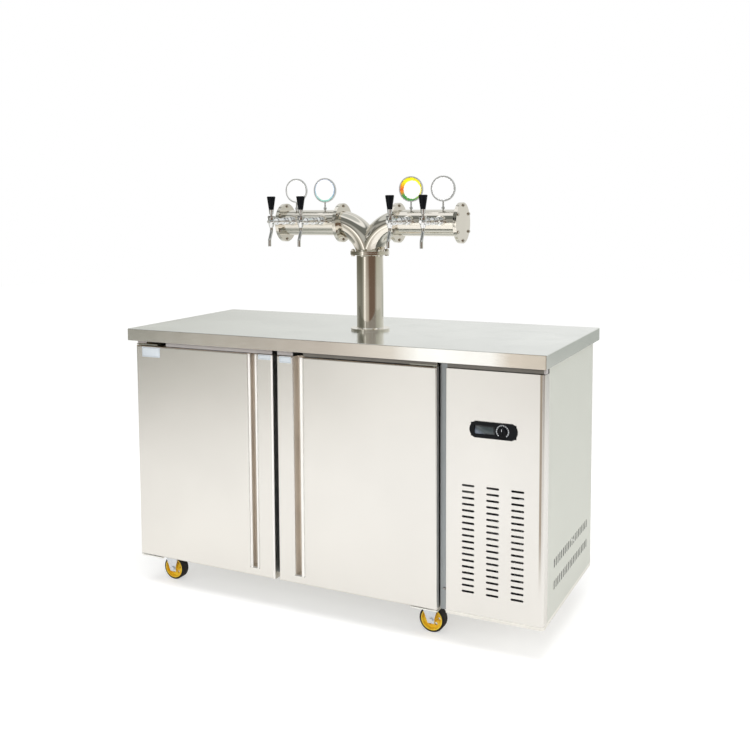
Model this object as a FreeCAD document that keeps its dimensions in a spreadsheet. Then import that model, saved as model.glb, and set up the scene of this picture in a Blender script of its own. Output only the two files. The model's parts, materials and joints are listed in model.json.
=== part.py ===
import FreeCAD, Part
import math
import os

import Sketcher

# Keg cooler with two doors, a machine bay on its right and a Y-shaped tower with four taps.
# Millimetres. X runs along the worktop towards the machine bay, Y from the doors to the back
# and Z up. The origin lies on the floor below the middle of the worktop.

SIZES = {
    # how far a cutting tool runs past the faces that it cuts through
    "cut_allowance": 1.0,
    # worktop
    "worktop_width": 1500.0,
    "worktop_depth": 680.0,
    "worktop_height": 920.0,
    "worktop_thickness": 42.0,
    "worktop_skin": 1.5,
    "worktop_corner": 3.0,
    "worktop_edge": 2.5,
    # how far the worktop stands out over the cabinet
    "left_overhang": 29.0,
    "right_overhang": 5.0,
    "front_overhang": 11.0,
    "rear_overhang": 77.0,
    # keg compartment
    "caster_height": 107.0,
    "side_wall": 48.0,
    "floor_wall": 48.0,
    "ceiling_wall": 55.0,
    "partition_wall": 66.0,
    "casing_skin": 1.0,
    "frame_thickness": 10.0,
    "mullion_width": 92.0,
    "hinge_gap": 29.0,
    "post_recess": 24.0,
    "post_clearance": 3.0,
    "header_drop": 32.0,
    # doors
    "door_gap": 16.0,
    "door_bottom": 105.0,
    "door_top_gap": 17.0,
    "door_thickness": 50.0,
    "door_liner_thickness": 4.0,
    "door_skin": 1.0,
    "door_edge_radius": 5.0,
    "door_liner_inset": 2.0,
    "strip_width": 62.0,
    "channel_width": 34.0,
    "channel_depth": 34.0,
    "channel_bottom": 30.0,
    "gasket_thickness": 7.7,
    "gasket_clearance": 0.3,
    "gasket_inset": 20.0,
    "gasket_width": 14.0,
    # door hinges
    "pivot_inset": 10.0,
    "pin_radius": 5.0,
    "pin_depth": 18.0,
    "running_clearance": 0.06,
    "bracket_length": 90.0,
    "bracket_plate": 4.0,
    "bracket_gap": 2.0,
    "bracket_lift": 15.0,
    "bracket_front_inset": 4.0,
    "bracket_clearance": 1.0,
    "bracket_screw_near": 30.0,
    "bracket_screw_far": 76.5,
    # screws
    "screw_radius": 2.5,
    "screw_length": 9.0,
    "screw_head_radius": 5.0,
    "screw_head_height": 2.4,
    "screw_neck_radius": 3.5,
    "screw_clearance": 0.2,
    "post_screw_height": 66.0,
    # machine bay
    "bay_width": 303.0,
    "bay_bottom": 105.0,
    "panel_bottom": 116.0,
    "tray_sheet": 2.0,
    "panel_skin": 1.2,
    "panel_return": 40.0,
    "panel_corner": 10.0,
    "panel_edge": 3.0,
    "slot_columns": 3.0,
    "slot_count": 18.0,
    "slot_pitch": 19.2,
    "slot_height": 6.5,
    "slot_length": 39.0,
    "slot_spacing": 76.0,
    "slot_top": 514.0,
    "slot_first": 52.0,
    "slit_count": 20.0,
    "slit_pitch": 21.6,
    "slit_width": 9.0,
    "slit_length": 29.0,
    "slit_front": 112.0,
    "slit_upper": 286.0,
    "slit_lower": 218.0,
    # thermostat
    "thermostat_width": 146.0,
    "thermostat_height": 49.0,
    "thermostat_bulge": 16.0,
    "thermostat_left": 76.0,
    "thermostat_level": 685.0,
    "thermostat_rim": 4.0,
    "thermostat_depth": 26.0,
    "thermostat_border": 3.5,
    "thermostat_fit": 0.5,
    "thermostat_recess": 2.5,
    "window_width": 62.0,
    "window_height": 27.0,
    "window_depth": 4.0,
    "dial_radius": 21.0,
    "dial_from_right": 45.0,
    "knob_radius": 13.0,
    "knob_height": 6.0,
    "knob_gap": 0.3,
    "knob_taper": 1.0,
    "knob_bevel": 1.5,
    "knob_grip_width": 4.8,
    "knob_grip_length": 19.5,
    "knob_grip_height": 3.0,
    "spindle_length": 13.0,
    "spindle_radius": 3.0,
    # tower
    "tower_offset_x": 50.0,
    "tower_offset_y": -24.0,
    "line_hole_radius": 35.0,
    "column_radius": 46.0,
    "arm_radius": 44.0,
    "tube_wall": 2.0,
    "flange_radius": 67.0,
    "flange_thickness": 6.0,
    "base_flange_thickness": 7.0,
    "column_length": 265.0,
    "arm_rise": 102.0,
    "elbow_radius": 124.0,
    "elbow_reach": 105.0,
    "arm_length": 225.0,
    "weld_bead": 3.0,
    "bolt_count": 6.0,
    "bolt_circle": 57.5,
    "bolt_radius": 4.0,
    "bolt_clearance": 0.3,
    "bolt_head_radius": 7.5,
    "bolt_head_height": 5.5,
    "bolt_end": 2.0,
    "arm_bolt_radius": 3.0,
    "arm_bolt_head_radius": 5.5,
    "arm_bolt_head_height": 3.5,
    "base_stud_length": 30.0,
    "base_stud_grip": 3.5,
    # taps
    "tap_inner_x": 161.0,
    "tap_spacing": 113.0,
    "tap_rise": 8.0,
    "tap_reach": 194.0,
    "boss_radius": 17.0,
    "boss_reach": 50.0,
    "shank_radius": 8.0,
    "shank_tail": 24.0,
    "collar_radius": 15.0,
    "collar_thickness": 9.0,
    "collar_flutes": 6.0,
    "flute_radius": 3.0,
    "barrel_radius": 9.5,
    "barrel_ring_radius": 12.5,
    "barrel_ring_count": 3.0,
    "barrel_ring_start": 12.0,
    "barrel_ring_pitch": 46.0,
    "barrel_ring_length": 8.0,
    "barrel_ring_edge": 1.5,
    "barrel_nut_start": 31.0,
    "barrel_nut_length": 13.0,
    "barrel_nut_radius": 13.0,
    "head_ball_radius": 13.0,
    "head_radius": 11.5,
    "head_top": 19.0,
    "head_bottom": 20.0,
    "head_bore": 8.0,
    "head_bore_depth": 19.0,
    "bonnet_radius": 13.0,
    "bonnet_drop": 6.0,
    "bonnet_height": 4.0,
    "plug_radius": 5.0,
    "plug_reach": 21.0,
    "waterway_radius": 4.0,
    "pivot_drop": 10.0,
    "lever_slot_depth": 7.0,
    "lever_slot_width": 9.6,
    "pivot_pin_radius": 2.0,
    "lever_ball": 7.0,
    "lever_stem": 4.2,
    "ferrule_start": 15.0,
    "ferrule_low_radius": 6.5,
    "ferrule_radius": 8.3,
    "grip_start": 30.0,
    "grip_length": 45.0,
    "grip_bottom_radius": 8.3,
    "grip_top_radius": 14.5,
    "grip_edge": 2.0,
    "spout_radius": 5.2,
    "spout_root_radius": 10.0,
    "spout_neck_radius": 6.8,
    "spout_neck_height": 12.0,
    "spout_straight": 12.0,
    "spout_bend_drop": 28.0,
    "spout_forward": 13.0,
    "spout_end": 23.0,
    "spout_bend_radius": 18.0,
    # medallions
    "medallion_radius": 42.0,
    "medallion_thickness": 8.0,
    "medallion_rim": 3.0,
    "medallion_recess": 1.5,
    "medallion_sheet": 1.5,
    "medallion_height": 112.0,
    "medallion_forward": 20.0,
    "stem_radius": 2.6,
    "stem_ball_radius": 5.5,
    "stem_sink": 4.0,
    "stem_overlap": 2.0,
    # beer lines
    "line_radius": 4.7,
    "line_inner_y": 6.0,
    "line_spacing_y": 16.0,
    "line_column_x": 10.0,
    "line_turn": 14.0,
    "line_elbow": 108.0,
    "line_drop": 40.0,
    "line_nut_radius": 7.0,
    "line_nut_length": 12.0,
    # casters
    "caster_left": 84.0,
    "caster_right": 79.0,
    "caster_inset": 30.0,
    "caster_plate": 56.0,
    "caster_plate_thickness": 3.0,
    "race_radius": 22.0,
    "race_gap": 0.4,
    "kingpin_radius": 5.0,
    "crown_thickness": 4.0,
    "crown_clearance": 4.0,
    "wheel_radius": 42.0,
    "wheel_width": 34.0,
    "wheel_side_clearance": 2.0,
    "tyre_thickness": 6.5,
    "tyre_shoulder": 3.0,
    "hub_bore": 4.5,
    "hub_web": 8.0,
    "hub_boss_radius": 10.0,
    "hub_rim": 3.5,
    "hub_draft": 1.0,
    "hub_pocket_radius": 5.0,
    "hub_pocket_circle": 20.0,
    "hub_pocket_count": 6.0,
    "trail": 5.0,
    "leg_thickness": 3.0,
    "leg_top_width": 56.0,
    "leg_bottom_width": 22.0,
    "axle_head_radius": 7.0,
    "axle_head_height": 4.5,
    # machine parts
    "compressor_radius": 76.0,
    "compressor_height": 178.0,
    "compressor_foot": 14.0,
    "foot_pad_radius": 11.2,
    "compressor_y": 120.0,
    "compressor_plate": 150.0,
    "relay_root": 45.0,
    "relay_reach": 26.0,
    "relay_width": 60.0,
    "relay_low": 44.0,
    "relay_high": 106.0,
    "stub_offset": 23.0,
    "stub_length": 8.0,
    "stub_wall": 1.5,
    "condenser_front": 60.0,
    "condenser_depth": 44.0,
    "condenser_width": 240.0,
    "condenser_height": 330.0,
    "condenser_fins": 14.0,
    "fin_share": 0.25,
    "coil_rows": 5.0,
    "shroud_depth": 30.0,
    "shroud_sheet": 1.5,
    "fan_opening": 106.0,
    "fan_radius": 96.0,
    "fan_hub_radius": 20.0,
    "fan_depth": 16.0,
    "fan_blades": 5.0,
    "fan_blade_section": 2.2,
    "fan_blade_sweep": 14.4,
    "fan_blade_margin": 2.0,
    "fan_blade_root": 10.0,
    "fan_shaft_radius": 3.0,
    "motor_radius": 32.0,
    "motor_length": 46.0,
    "motor_gap": 3.0,
    "shaft_depth": 18.0,
    "shaft_bore_depth": 23.0,
    "strut_width": 14.0,
    "refrigerant_radius": 4.0,
    "pipe_bend": 4.0,
    "pipe_margin": 2.0,
    "pipe_offset": 6.0,
    "pipe_inset": 40.0,
    "discharge_rise": 40.0,
    "liquid_rise": 40.0,
    "drier_radius": 9.0,
    "drier_length": 60.0,
    "partition_bore_radius": 14.0,
    "passage_inset": 22.0,
    # evaporator on the partition
    "evaporator_bottom": 330.0,
    "evaporator_height": 190.0,
    "evaporator_width": 240.0,
    "evaporator_depth": 40.0,
    "cover_depth": 84.0,
    "cover_margin": 24.0,
    "cover_height": 400.0,
    "cover_sheet": 1.2,
    "cover_inlet_width": 192.0,
    "cover_inlet_start": 20.0,
    "cover_inlet_height": 40.0,
    "evaporator_fan_opening": 78.0,
    "evaporator_fan_radius": 70.0,
    # cord gland
    "gland_radius": 10.0,
    "gland_length": 14.0,
    "gland_flange_radius": 15.0,
    "gland_flange_thickness": 3.5,
    "gland_nut_thickness": 7.0,
    "gland_bore_radius": 5.0,
    "gland_level": 160.0,
}

doc = FreeCAD.newDocument("KegDispenser")
sheet = doc.addObject("Spreadsheet::Sheet", "Sizes")
for row, (alias, number) in enumerate(SIZES.items(), start=1):
    sheet.set(f"A{row}", alias)
    sheet.set(f"B{row}", str(number))
    sheet.setAlias(f"B{row}", alias)
doc.recompute()

TINY = 1e-4


class Size:
    """A number together with the sheet expression that gives it."""

    def __init__(self, value, text):
        self.value = float(value)
        self.text = text

    def __add__(self, other):
        other = as_size(other)
        return Size(self.value + other.value, f"({self.text} + {other.text})")

    def __sub__(self, other):
        other = as_size(other)
        return Size(self.value - other.value, f"({self.text} - {other.text})")

    def __mul__(self, other):
        other = as_size(other)
        return Size(self.value * other.value, f"({self.text} * {other.text})")

    def __truediv__(self, other):
        other = as_size(other)
        return Size(self.value / other.value, f"({self.text} / {other.text})")

    def __radd__(self, other):
        return as_size(other) + self

    def __rsub__(self, other):
        return as_size(other) - self

    def __rmul__(self, other):
        return as_size(other) * self

    def __neg__(self):
        return as_size(-1) * self


def as_size(number):
    if isinstance(number, Size):
        return number
    return Size(number, f"({float(number):.10g})")


class SheetSizes:
    """Gives each row of the sheet as a Size, by its alias."""

    def __getattr__(self, alias):
        return Size(SIZES[alias], f"Sizes.{alias}")


S = SheetSizes()
ZERO = as_size(0)
PAST = S.cut_allowance


def bind(obj, prop, size):
    obj.setExpression(prop, as_size(size).text)


def put(obj, x, y, z):
    """Binds an object's position."""
    bind(obj, "Placement.Base.x", x)
    bind(obj, "Placement.Base.y", y)
    bind(obj, "Placement.Base.z", z)


# ---------------------------------------------------------------- primitives and booleans

TURN = {
    "X": FreeCAD.Rotation(FreeCAD.Vector(0, 1, 0), 90),
    "Y": FreeCAD.Rotation(FreeCAD.Vector(1, 0, 0), -90),
    "Z": FreeCAD.Rotation(),
}


def box(name, x, y, z):
    """A box between the pairs of coordinates x, y and z."""
    solid = doc.addObject("Part::Box", name)
    bind(solid, "Length", x[1] - x[0])
    bind(solid, "Width", y[1] - y[0])
    bind(solid, "Height", z[1] - z[0])
    put(solid, x[0], y[0], z[0])
    return solid


def turned(kind, name, axis, start):
    solid = doc.addObject(kind, name)
    solid.Placement = FreeCAD.Placement(FreeCAD.Vector(), TURN[axis])
    put(solid, *start)
    return solid


def rod(name, axis, radius, start, length):
    """A cylinder from the point start along the positive axis."""
    solid = turned("Part::Cylinder", name, axis, start)
    bind(solid, "Radius", radius)
    bind(solid, "Height", length)
    return solid


def cone(name, axis, radii, start, length):
    solid = turned("Part::Cone", name, axis, start)
    bind(solid, "Radius1", radii[0])
    bind(solid, "Radius2", radii[1])
    bind(solid, "Height", length)
    return solid


HEXAGON_SIDES = 6


def hexagon(name, axis, radius, start, length):
    solid = turned("Part::Prism", name, axis, start)
    solid.Polygon = HEXAGON_SIDES
    bind(solid, "Circumradius", radius)
    bind(solid, "Height", length)
    return solid


def ball(name, radius, centre):
    solid = doc.addObject("Part::Sphere", name)
    bind(solid, "Radius", radius)
    put(solid, *centre)
    return solid


def fuse(name, *parts):
    if len(parts) == 1:
        return parts[0]
    result = doc.addObject("Part::MultiFuse", name)
    result.Shapes = list(parts)
    result.Refine = True
    return result


def cut(name, base, *tools):
    result = doc.addObject("Part::Cut", name)
    result.Base = base
    result.Tool = fuse(name + "_tools", *tools)
    result.Refine = True
    return result


def common(name, first, second):
    result = doc.addObject("Part::MultiCommon", name)
    result.Shapes = [first, second]
    return result


def group(name, parts):
    result = doc.addObject("Part::Compound", name)
    result.Links = list(parts)
    return result


# ---------------------------------------------------------------- bodies made from sketches


class Solid:
    """A PartDesign body with short names for the features used here."""

    def __init__(self, name):
        self.name = name
        self.body = doc.addObject("PartDesign::Body", name)
        self.count = 0

    def add(self, kind):
        self.count += 1
        return self.body.newObject(kind, f"{self.name}_{self.count}")

    def sketch(self, plane, level=ZERO):
        result = self.add("Sketcher::SketchObject")
        support = next(f for f in self.body.Origin.OriginFeatures if f.Role == plane)
        result.AttachmentSupport = [(support, "")]
        result.MapMode = "FlatFace"
        bind(result, "AttachmentOffset.Base.z", level)
        return result

    def polygon(self, plane, points, level=ZERO):
        """A closed outline whose every corner is bound to the sheet."""
        result = self.sketch(plane, level)
        add_polygon(result, points)
        return result

    def circles(self, plane, circles, level=ZERO):
        result = self.sketch(plane, level)
        for x, y, radius in circles:
            add_circle(result, x, y, radius)
        return result

    def pad(self, sketch, length, reverse=False):
        feature = self.add("PartDesign::Pad")
        feature.Profile = sketch
        bind(feature, "Length", length)
        feature.Reversed = reverse
        doc.recompute()
        return feature

    def pocket(self, sketch, length, reverse=False):
        """Cuts the sketch away and makes sure that something was there to cut."""
        before = self.body.Tip.Shape.Volume
        feature = self.add("PartDesign::Pocket")
        feature.Profile = sketch
        bind(feature, "Length", length)
        feature.Reversed = reverse
        doc.recompute()
        if feature.Shape.Volume > before - TINY:
            raise ValueError(f"{feature.Name} cuts nothing")
        return feature

    def revolve(self, sketch, axis="V_Axis"):
        feature = self.add("PartDesign::Revolution")
        feature.Profile = sketch
        feature.ReferenceAxis = (sketch, [axis])
        feature.Angle = 360
        doc.recompute()
        return feature

    def fillet(self, picked, radius):
        """Rounds the edges of the tip's shape that picked accepts."""
        doc.recompute()
        tip = self.body.Tip
        edges = [f"Edge{i}" for i, edge in enumerate(tip.Shape.Edges, start=1) if picked(edge)]
        feature = self.add("PartDesign::Fillet")
        feature.Base = (tip, edges)
        bind(feature, "Radius", radius)
        doc.recompute()
        return feature

    def row(self, feature, sketch, axis, pitch, number, reverse=False):
        pattern = self.add("PartDesign::LinearPattern")
        pattern.Originals = [feature]
        pattern.Direction = (sketch, [axis])
        pattern.Mode = "Spacing"
        bind(pattern, "Offset", pitch)
        bind(pattern, "Occurrences", number)
        pattern.Reversed = reverse
        self.body.Tip = pattern
        doc.recompute()
        return pattern

    def ring(self, feature, sketch, number):
        pattern = self.add("PartDesign::PolarPattern")
        pattern.Originals = [feature]
        pattern.Axis = (sketch, ["N_Axis"])
        pattern.Angle = 360
        bind(pattern, "Occurrences", number)
        self.body.Tip = pattern
        doc.recompute()
        return pattern

    def place(self, x, y, z, rotation=None):
        if rotation:
            self.body.Placement = FreeCAD.Placement(FreeCAD.Vector(), rotation)
        put(self.body, x, y, z)
        return self.body


def add_polygon(sketch, points):
    corners = [FreeCAD.Vector(x.value, y.value, 0) for x, y in points]
    first = sketch.GeometryCount
    total = len(corners)
    for index, corner in enumerate(corners):
        sketch.addGeometry(Part.LineSegment(corner, corners[(index + 1) % total]), False)
    for index in range(total):
        following = first + (index + 1) % total
        sketch.addConstraint(Sketcher.Constraint("Coincident", first + index, 2, following, 1))
    for index, (x, y) in enumerate(points):
        pin_point(sketch, first + index, 1, x, y)


def add_circle(sketch, x, y, radius):
    centre = FreeCAD.Vector(x.value, y.value, 0)
    circle = Part.Circle(centre, FreeCAD.Vector(0, 0, 1), radius.value)
    index = sketch.addGeometry(circle, False)
    pin_point(sketch, index, 3, x, y)
    limit = sketch.addConstraint(Sketcher.Constraint("Radius", index, radius.value))
    bind(sketch, f"Constraints[{limit}]", radius)


def pin_point(sketch, index, end, x, y):
    for kind, size in (("DistanceX", x), ("DistanceY", y)):
        limit = sketch.addConstraint(Sketcher.Constraint(kind, -1, 1, index, end, size.value))
        bind(sketch, f"Constraints[{limit}]", size)


def rectangle(x, y):
    return [(x[0], y[0]), (x[1], y[0]), (x[1], y[1]), (x[0], y[1])]


def stadium(sketch, x, y, width, height):
    """A round-ended slot with its lower left corner at x, y; it lies along its longer side."""
    lying = width.value > height.value
    radius = (height if lying else width) / 2
    near = (x + radius, y + radius)
    far = (x + width - radius, y + height - radius)
    turn = 90 if lying else 180
    for centre, start in ((near, turn), (far, turn + 180)):
        circle = Part.Circle(vector(centre), FreeCAD.Vector(0, 0, 1), radius.value)
        first, last = math.radians(start), math.radians(start + 180)
        sketch.addGeometry(Part.ArcOfCircle(circle, first, last), False)
    one, two = sketch.GeometryCount - 2, sketch.GeometryCount - 1
    ends = [(one, 2, two, 1), (two, 2, one, 1)]
    for a, a_end, b, b_end in ends:
        side = Part.LineSegment(sketch.getPoint(a, a_end), sketch.getPoint(b, b_end))
        line = sketch.addGeometry(side, False)
        sketch.addConstraint(Sketcher.Constraint("Tangent", a, a_end, line, 1))
        sketch.addConstraint(Sketcher.Constraint("Tangent", line, 2, b, b_end))
    pin_point(sketch, one, 3, *near)
    pin_point(sketch, two, 3, *far)
    limit = sketch.addConstraint(Sketcher.Constraint("Radius", one, radius.value))
    bind(sketch, f"Constraints[{limit}]", radius)


def vector(point):
    values = [as_size(p).value for p in point]
    return FreeCAD.Vector(*values) if len(values) == 3 else FreeCAD.Vector(*values, 0)


def ends_of(edge):
    return [vertex.Point for vertex in edge.Vertexes]


def upright(edge):
    points = ends_of(edge)
    flat = FreeCAD.Vector(points[0].x - points[-1].x, points[0].y - points[-1].y, 0)
    return len(points) == 2 and flat.Length < TINY


def edges_in_plane(axis, level):
    """Accepts the edges that lie in one plane across the named axis."""

    def picked(edge):
        box_of = edge.BoundBox
        low, high = getattr(box_of, axis + "Min"), getattr(box_of, axis + "Max")
        return abs(low - level.value) < TINY and abs(high - level.value) < TINY

    return picked


def upright_at(x, y):
    """Accepts the upright edge that stands at one point."""

    def picked(edge):
        point = edge.BoundBox.Center
        return upright(edge) and abs(point.x - x.value) < TINY and abs(point.y - y.value) < TINY

    return picked


# ---------------------------------------------------------------- sweeps along bent paths


def bent_path(points, radii):
    """Straight runs through the points, with an arc of the given radius at each inner one."""
    edges = []
    start = points[0]
    for before, corner, after, radius in zip(points, points[1:], points[2:], radii):
        incoming = (corner - before).normalize()
        outgoing = (after - corner).normalize()
        turn = incoming.getAngle(outgoing)
        reach = radius * math.tan(turn / 2)
        first, last = corner - incoming * reach, corner + outgoing * reach
        inward = (outgoing - incoming).normalize()
        middle = corner + inward * (radius / math.cos(turn / 2) - radius)
        edges.append(Part.LineSegment(start, first).toShape())
        edges.append(Part.Arc(first, middle, last).toShape())
        start = last
    edges.append(Part.LineSegment(start, points[-1]).toShape())
    return Part.Wire(edges)


def tube(points, radii, radius):
    """A round solid bar along a bent path."""
    path = bent_path(points, radii)
    direction = points[1] - points[0]
    section = Part.Wire([Part.Circle(points[0], direction, radius).toShape()])
    return path.makePipeShell([section], True, False)


def made(name, shape):
    feature = doc.addObject("Part::Feature", name)
    feature.Shape = shape
    return feature


# ---------------------------------------------------------------- main places

TOP_X = (-S.worktop_width / 2, S.worktop_width / 2)
TOP_Y = (-S.worktop_depth / 2, S.worktop_depth / 2)
UNDERSIDE = S.worktop_height - S.worktop_thickness

LEFT = TOP_X[0] + S.left_overhang
RIGHT = TOP_X[1] - S.right_overhang
FRONT = TOP_Y[0] + S.front_overhang
REAR = TOP_Y[1] - S.rear_overhang

DOOR_REAR = FRONT + S.door_thickness
FRAME_FRONT = DOOR_REAR + S.gasket_thickness + S.gasket_clearance
FRAME_BACK = FRAME_FRONT + S.frame_thickness
BAY = RIGHT - S.bay_width
FLOOR = S.caster_height

DOOR_TOP = UNDERSIDE - S.door_top_gap
DOOR_WIDTH = (BAY - S.hinge_gap - LEFT - S.door_gap) / 2
LEFT_DOOR = (LEFT, LEFT + DOOR_WIDTH)
RIGHT_DOOR = (BAY - S.hinge_gap - DOOR_WIDTH, BAY - S.hinge_gap)
DOORS_MIDDLE = (LEFT_DOOR[1] + RIGHT_DOOR[0]) / 2

INSIDE_X = (LEFT + S.side_wall, BAY - S.partition_wall)
INSIDE_Y = (FRAME_BACK, REAR - S.side_wall)
INSIDE_Z = (FLOOR + S.floor_wall, UNDERSIDE - S.ceiling_wall)
BAY_MIDDLE = (BAY + RIGHT) / 2

TOWER_X = S.tower_offset_x
TOWER_Y = S.tower_offset_y
JOINT = S.worktop_height + S.column_length
ARM_AXIS = JOINT + S.arm_rise
PASSAGE_X = INSIDE_X[1] - S.passage_inset
PIPE_Y = INSIDE_Y[1] - S.pipe_inset
PIPE_Z = S.evaporator_bottom + S.evaporator_height + S.pipe_inset

NODES = {}


def node(name, solid):
    solid.Label = name
    NODES[name] = solid
    return solid


# ---------------------------------------------------------------- worktop


COLUMN_BOLT_START = 30
ARM_BOLT_START = 90


def ring_angles(count, start):
    """Evenly spaced angles round a ring, in radians, from the start angle in degrees."""
    number = int(count.value)
    return [math.radians(start + 360 * index / number) for index in range(number)]


def column_bolt_places():
    """The bolts of the upright flanges, as x and y."""
    places = []
    for angle in ring_angles(S.bolt_count, COLUMN_BOLT_START):
        x = TOWER_X + S.bolt_circle * math.cos(angle)
        y = TOWER_Y + S.bolt_circle * math.sin(angle)
        places.append((x, y))
    return places


def arm_bolt_places():
    """The bolts of the arms' flanges, as y and z."""
    places = []
    for angle in ring_angles(S.bolt_count, ARM_BOLT_START):
        y = TOWER_Y + S.bolt_circle * math.cos(angle)
        z = ARM_AXIS + S.bolt_circle * math.sin(angle)
        places.append((y, z))
    return places


def make_worktop():
    pan = Solid("worktop_pan")
    outline = pan.polygon("XY_Plane", rectangle(TOP_X, TOP_Y), UNDERSIDE)
    pan.pad(outline, S.worktop_thickness)
    pan.fillet(upright, S.worktop_corner)
    pan.fillet(edges_in_plane("Z", S.worktop_height), S.worktop_edge)
    hollow_x = (TOP_X[0] + S.worktop_skin, TOP_X[1] - S.worktop_skin)
    hollow_y = (TOP_Y[0] + S.worktop_skin, TOP_Y[1] - S.worktop_skin)
    hollow = pan.polygon("XY_Plane", rectangle(hollow_x, hollow_y), UNDERSIDE)
    pan.pocket(hollow, S.worktop_thickness - S.worktop_skin, reverse=True)
    bore = S.bolt_radius + S.bolt_clearance
    holes = [(x, y, bore) for x, y in column_bolt_places()]
    holes.append((TOWER_X, TOWER_Y, S.line_hole_radius))
    pan.pocket(pan.circles("XY_Plane", holes, S.worktop_height), S.worktop_thickness)
    node("countertop", pan.body)

    core = box("core_board", hollow_x, hollow_y, (UNDERSIDE, S.worktop_height - S.worktop_skin))
    bores = [rod("core_line_bore", "Z", S.line_hole_radius, (TOWER_X, TOWER_Y, UNDERSIDE),
                 S.worktop_thickness)]
    for x, y in column_bolt_places():
        bores.append(rod("core_bolt_bore", "Z", bore, (x, y, UNDERSIDE), S.worktop_thickness))
    node("countertop_core", cut("core_cut", core, *bores))


# ---------------------------------------------------------------- keg compartment


def grow(pair, amount):
    return (pair[0] - amount, pair[1] + amount)


def about(middle, half):
    """The pair of coordinates that lie half to each side of the middle."""
    return (middle - half, middle + half)


def wall_bores(name):
    """The way of the beer lines through the ceiling and of the pipes through the partition."""
    lines = rod(name + "_line_bore", "Z", S.line_hole_radius, (TOWER_X, TOWER_Y, INSIDE_Z[1] - PAST),
                S.ceiling_wall + PAST * 2)
    pipes = rod(name + "_pipe_bore", "X", S.partition_bore_radius, (INSIDE_X[1] - PAST, PIPE_Y, PIPE_Z),
                S.partition_wall + PAST * 2)
    return lines, pipes


def make_compartment():
    outer_x, outer_z = (LEFT, BAY), (FLOOR, UNDERSIDE)
    outer_y = (FRAME_BACK, REAR)
    skin = S.casing_skin
    within_x, within_z = grow(outer_x, -skin), grow(outer_z, -skin)
    within_y = (FRAME_BACK - skin, REAR - skin)

    casing = cut("casing_cut", box("casing_block", outer_x, outer_y, outer_z),
                 box("casing_hollow", within_x, within_y, within_z), *wall_bores("casing"))
    node("outer_casing", casing)

    liner_x, liner_z = grow(INSIDE_X, skin), grow(INSIDE_Z, skin)
    liner_y = (FRAME_BACK, INSIDE_Y[1] + skin)
    foam_y = (FRAME_BACK, REAR - skin)
    foam = cut("foam_cut", box("foam_block", within_x, foam_y, within_z),
               box("foam_hollow", liner_x, (FRAME_BACK - skin, liner_y[1]), liner_z), *wall_bores("foam"))
    node("cabinet_insulation", foam)

    liner = cut("liner_cut", box("liner_block", liner_x, liner_y, liner_z),
                box("liner_hollow", INSIDE_X, (FRAME_BACK - skin, INSIDE_Y[1]), INSIDE_Z),
                *wall_bores("liner"))
    node("inner_liner", liner)


def screw_places():
    """Each screw driven towards the back: x, the plane under its head and z."""
    seat = FRAME_FRONT - S.bracket_plate
    high = (DOOR_TOP + S.bracket_gap + UNDERSIDE) / 2 + S.bracket_plate / 2
    low = FLOOR + S.bracket_lift / 2
    places = []
    for z in (low, high):
        for offset in (S.bracket_screw_near, S.bracket_screw_far):
            places.append((LEFT_DOOR[0] + offset, seat, z))
            places.append((RIGHT_DOOR[1] - offset, seat, z))
    post_x = (RIGHT_DOOR[1] + S.post_clearance + BAY) / 2
    for z in (S.door_bottom + S.post_screw_height, high):
        places.append((post_x, FRONT + S.post_recess, z))
    return places


def screw_bores(name):
    radius = S.screw_radius + S.screw_clearance
    return [rod(name + "_screw_bore", "Y", radius, (x, y - PAST, z), S.screw_length + PAST * 2)
            for x, y, z in screw_places()]


def make_face_frame():
    depth = (FRAME_FRONT, FRAME_BACK)
    beyond = grow(depth, PAST)
    mullion = about(DOORS_MIDDLE, S.mullion_width / 2)
    plate = box("frame_plate", (LEFT, BAY), depth, (FLOOR, UNDERSIDE))
    header_x = (BAY, RIGHT - S.panel_skin)
    header = box("frame_header", header_x, depth, (DOOR_TOP - S.header_drop, UNDERSIDE))
    post_x = (RIGHT_DOOR[1] + S.post_clearance, BAY)
    post = box("frame_post", post_x, (FRONT + S.post_recess, FRAME_FRONT), (S.door_bottom, UNDERSIDE))
    left_opening = box("frame_left_opening", (INSIDE_X[0], mullion[0]), beyond, INSIDE_Z)
    right_opening = box("frame_right_opening", (mullion[1], INSIDE_X[1]), beyond, INSIDE_Z)
    solid = fuse("frame_fuse", plate, header, post)
    node("face_frame", cut("frame_cut", solid, left_opening, right_opening, *screw_bores("frame")))


def make_screws():
    screws = []
    for x, seat, z in screw_places():
        shank = rod("screw_shank", "Y", S.screw_radius, (x, seat, z), S.screw_length)
        head = cone("screw_head", "Y", (S.screw_neck_radius, S.screw_head_radius),
                    (x, seat - S.screw_head_height, z), S.screw_head_height)
        screws.append(fuse("screw", head, shank))
    node("panel_screws", group("screw_group", screws))


def pivot_of(door, hinge_side):
    inset = S.pivot_inset * hinge_side
    edge = door[0] if hinge_side > 0 else door[1]
    return edge + inset


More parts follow.
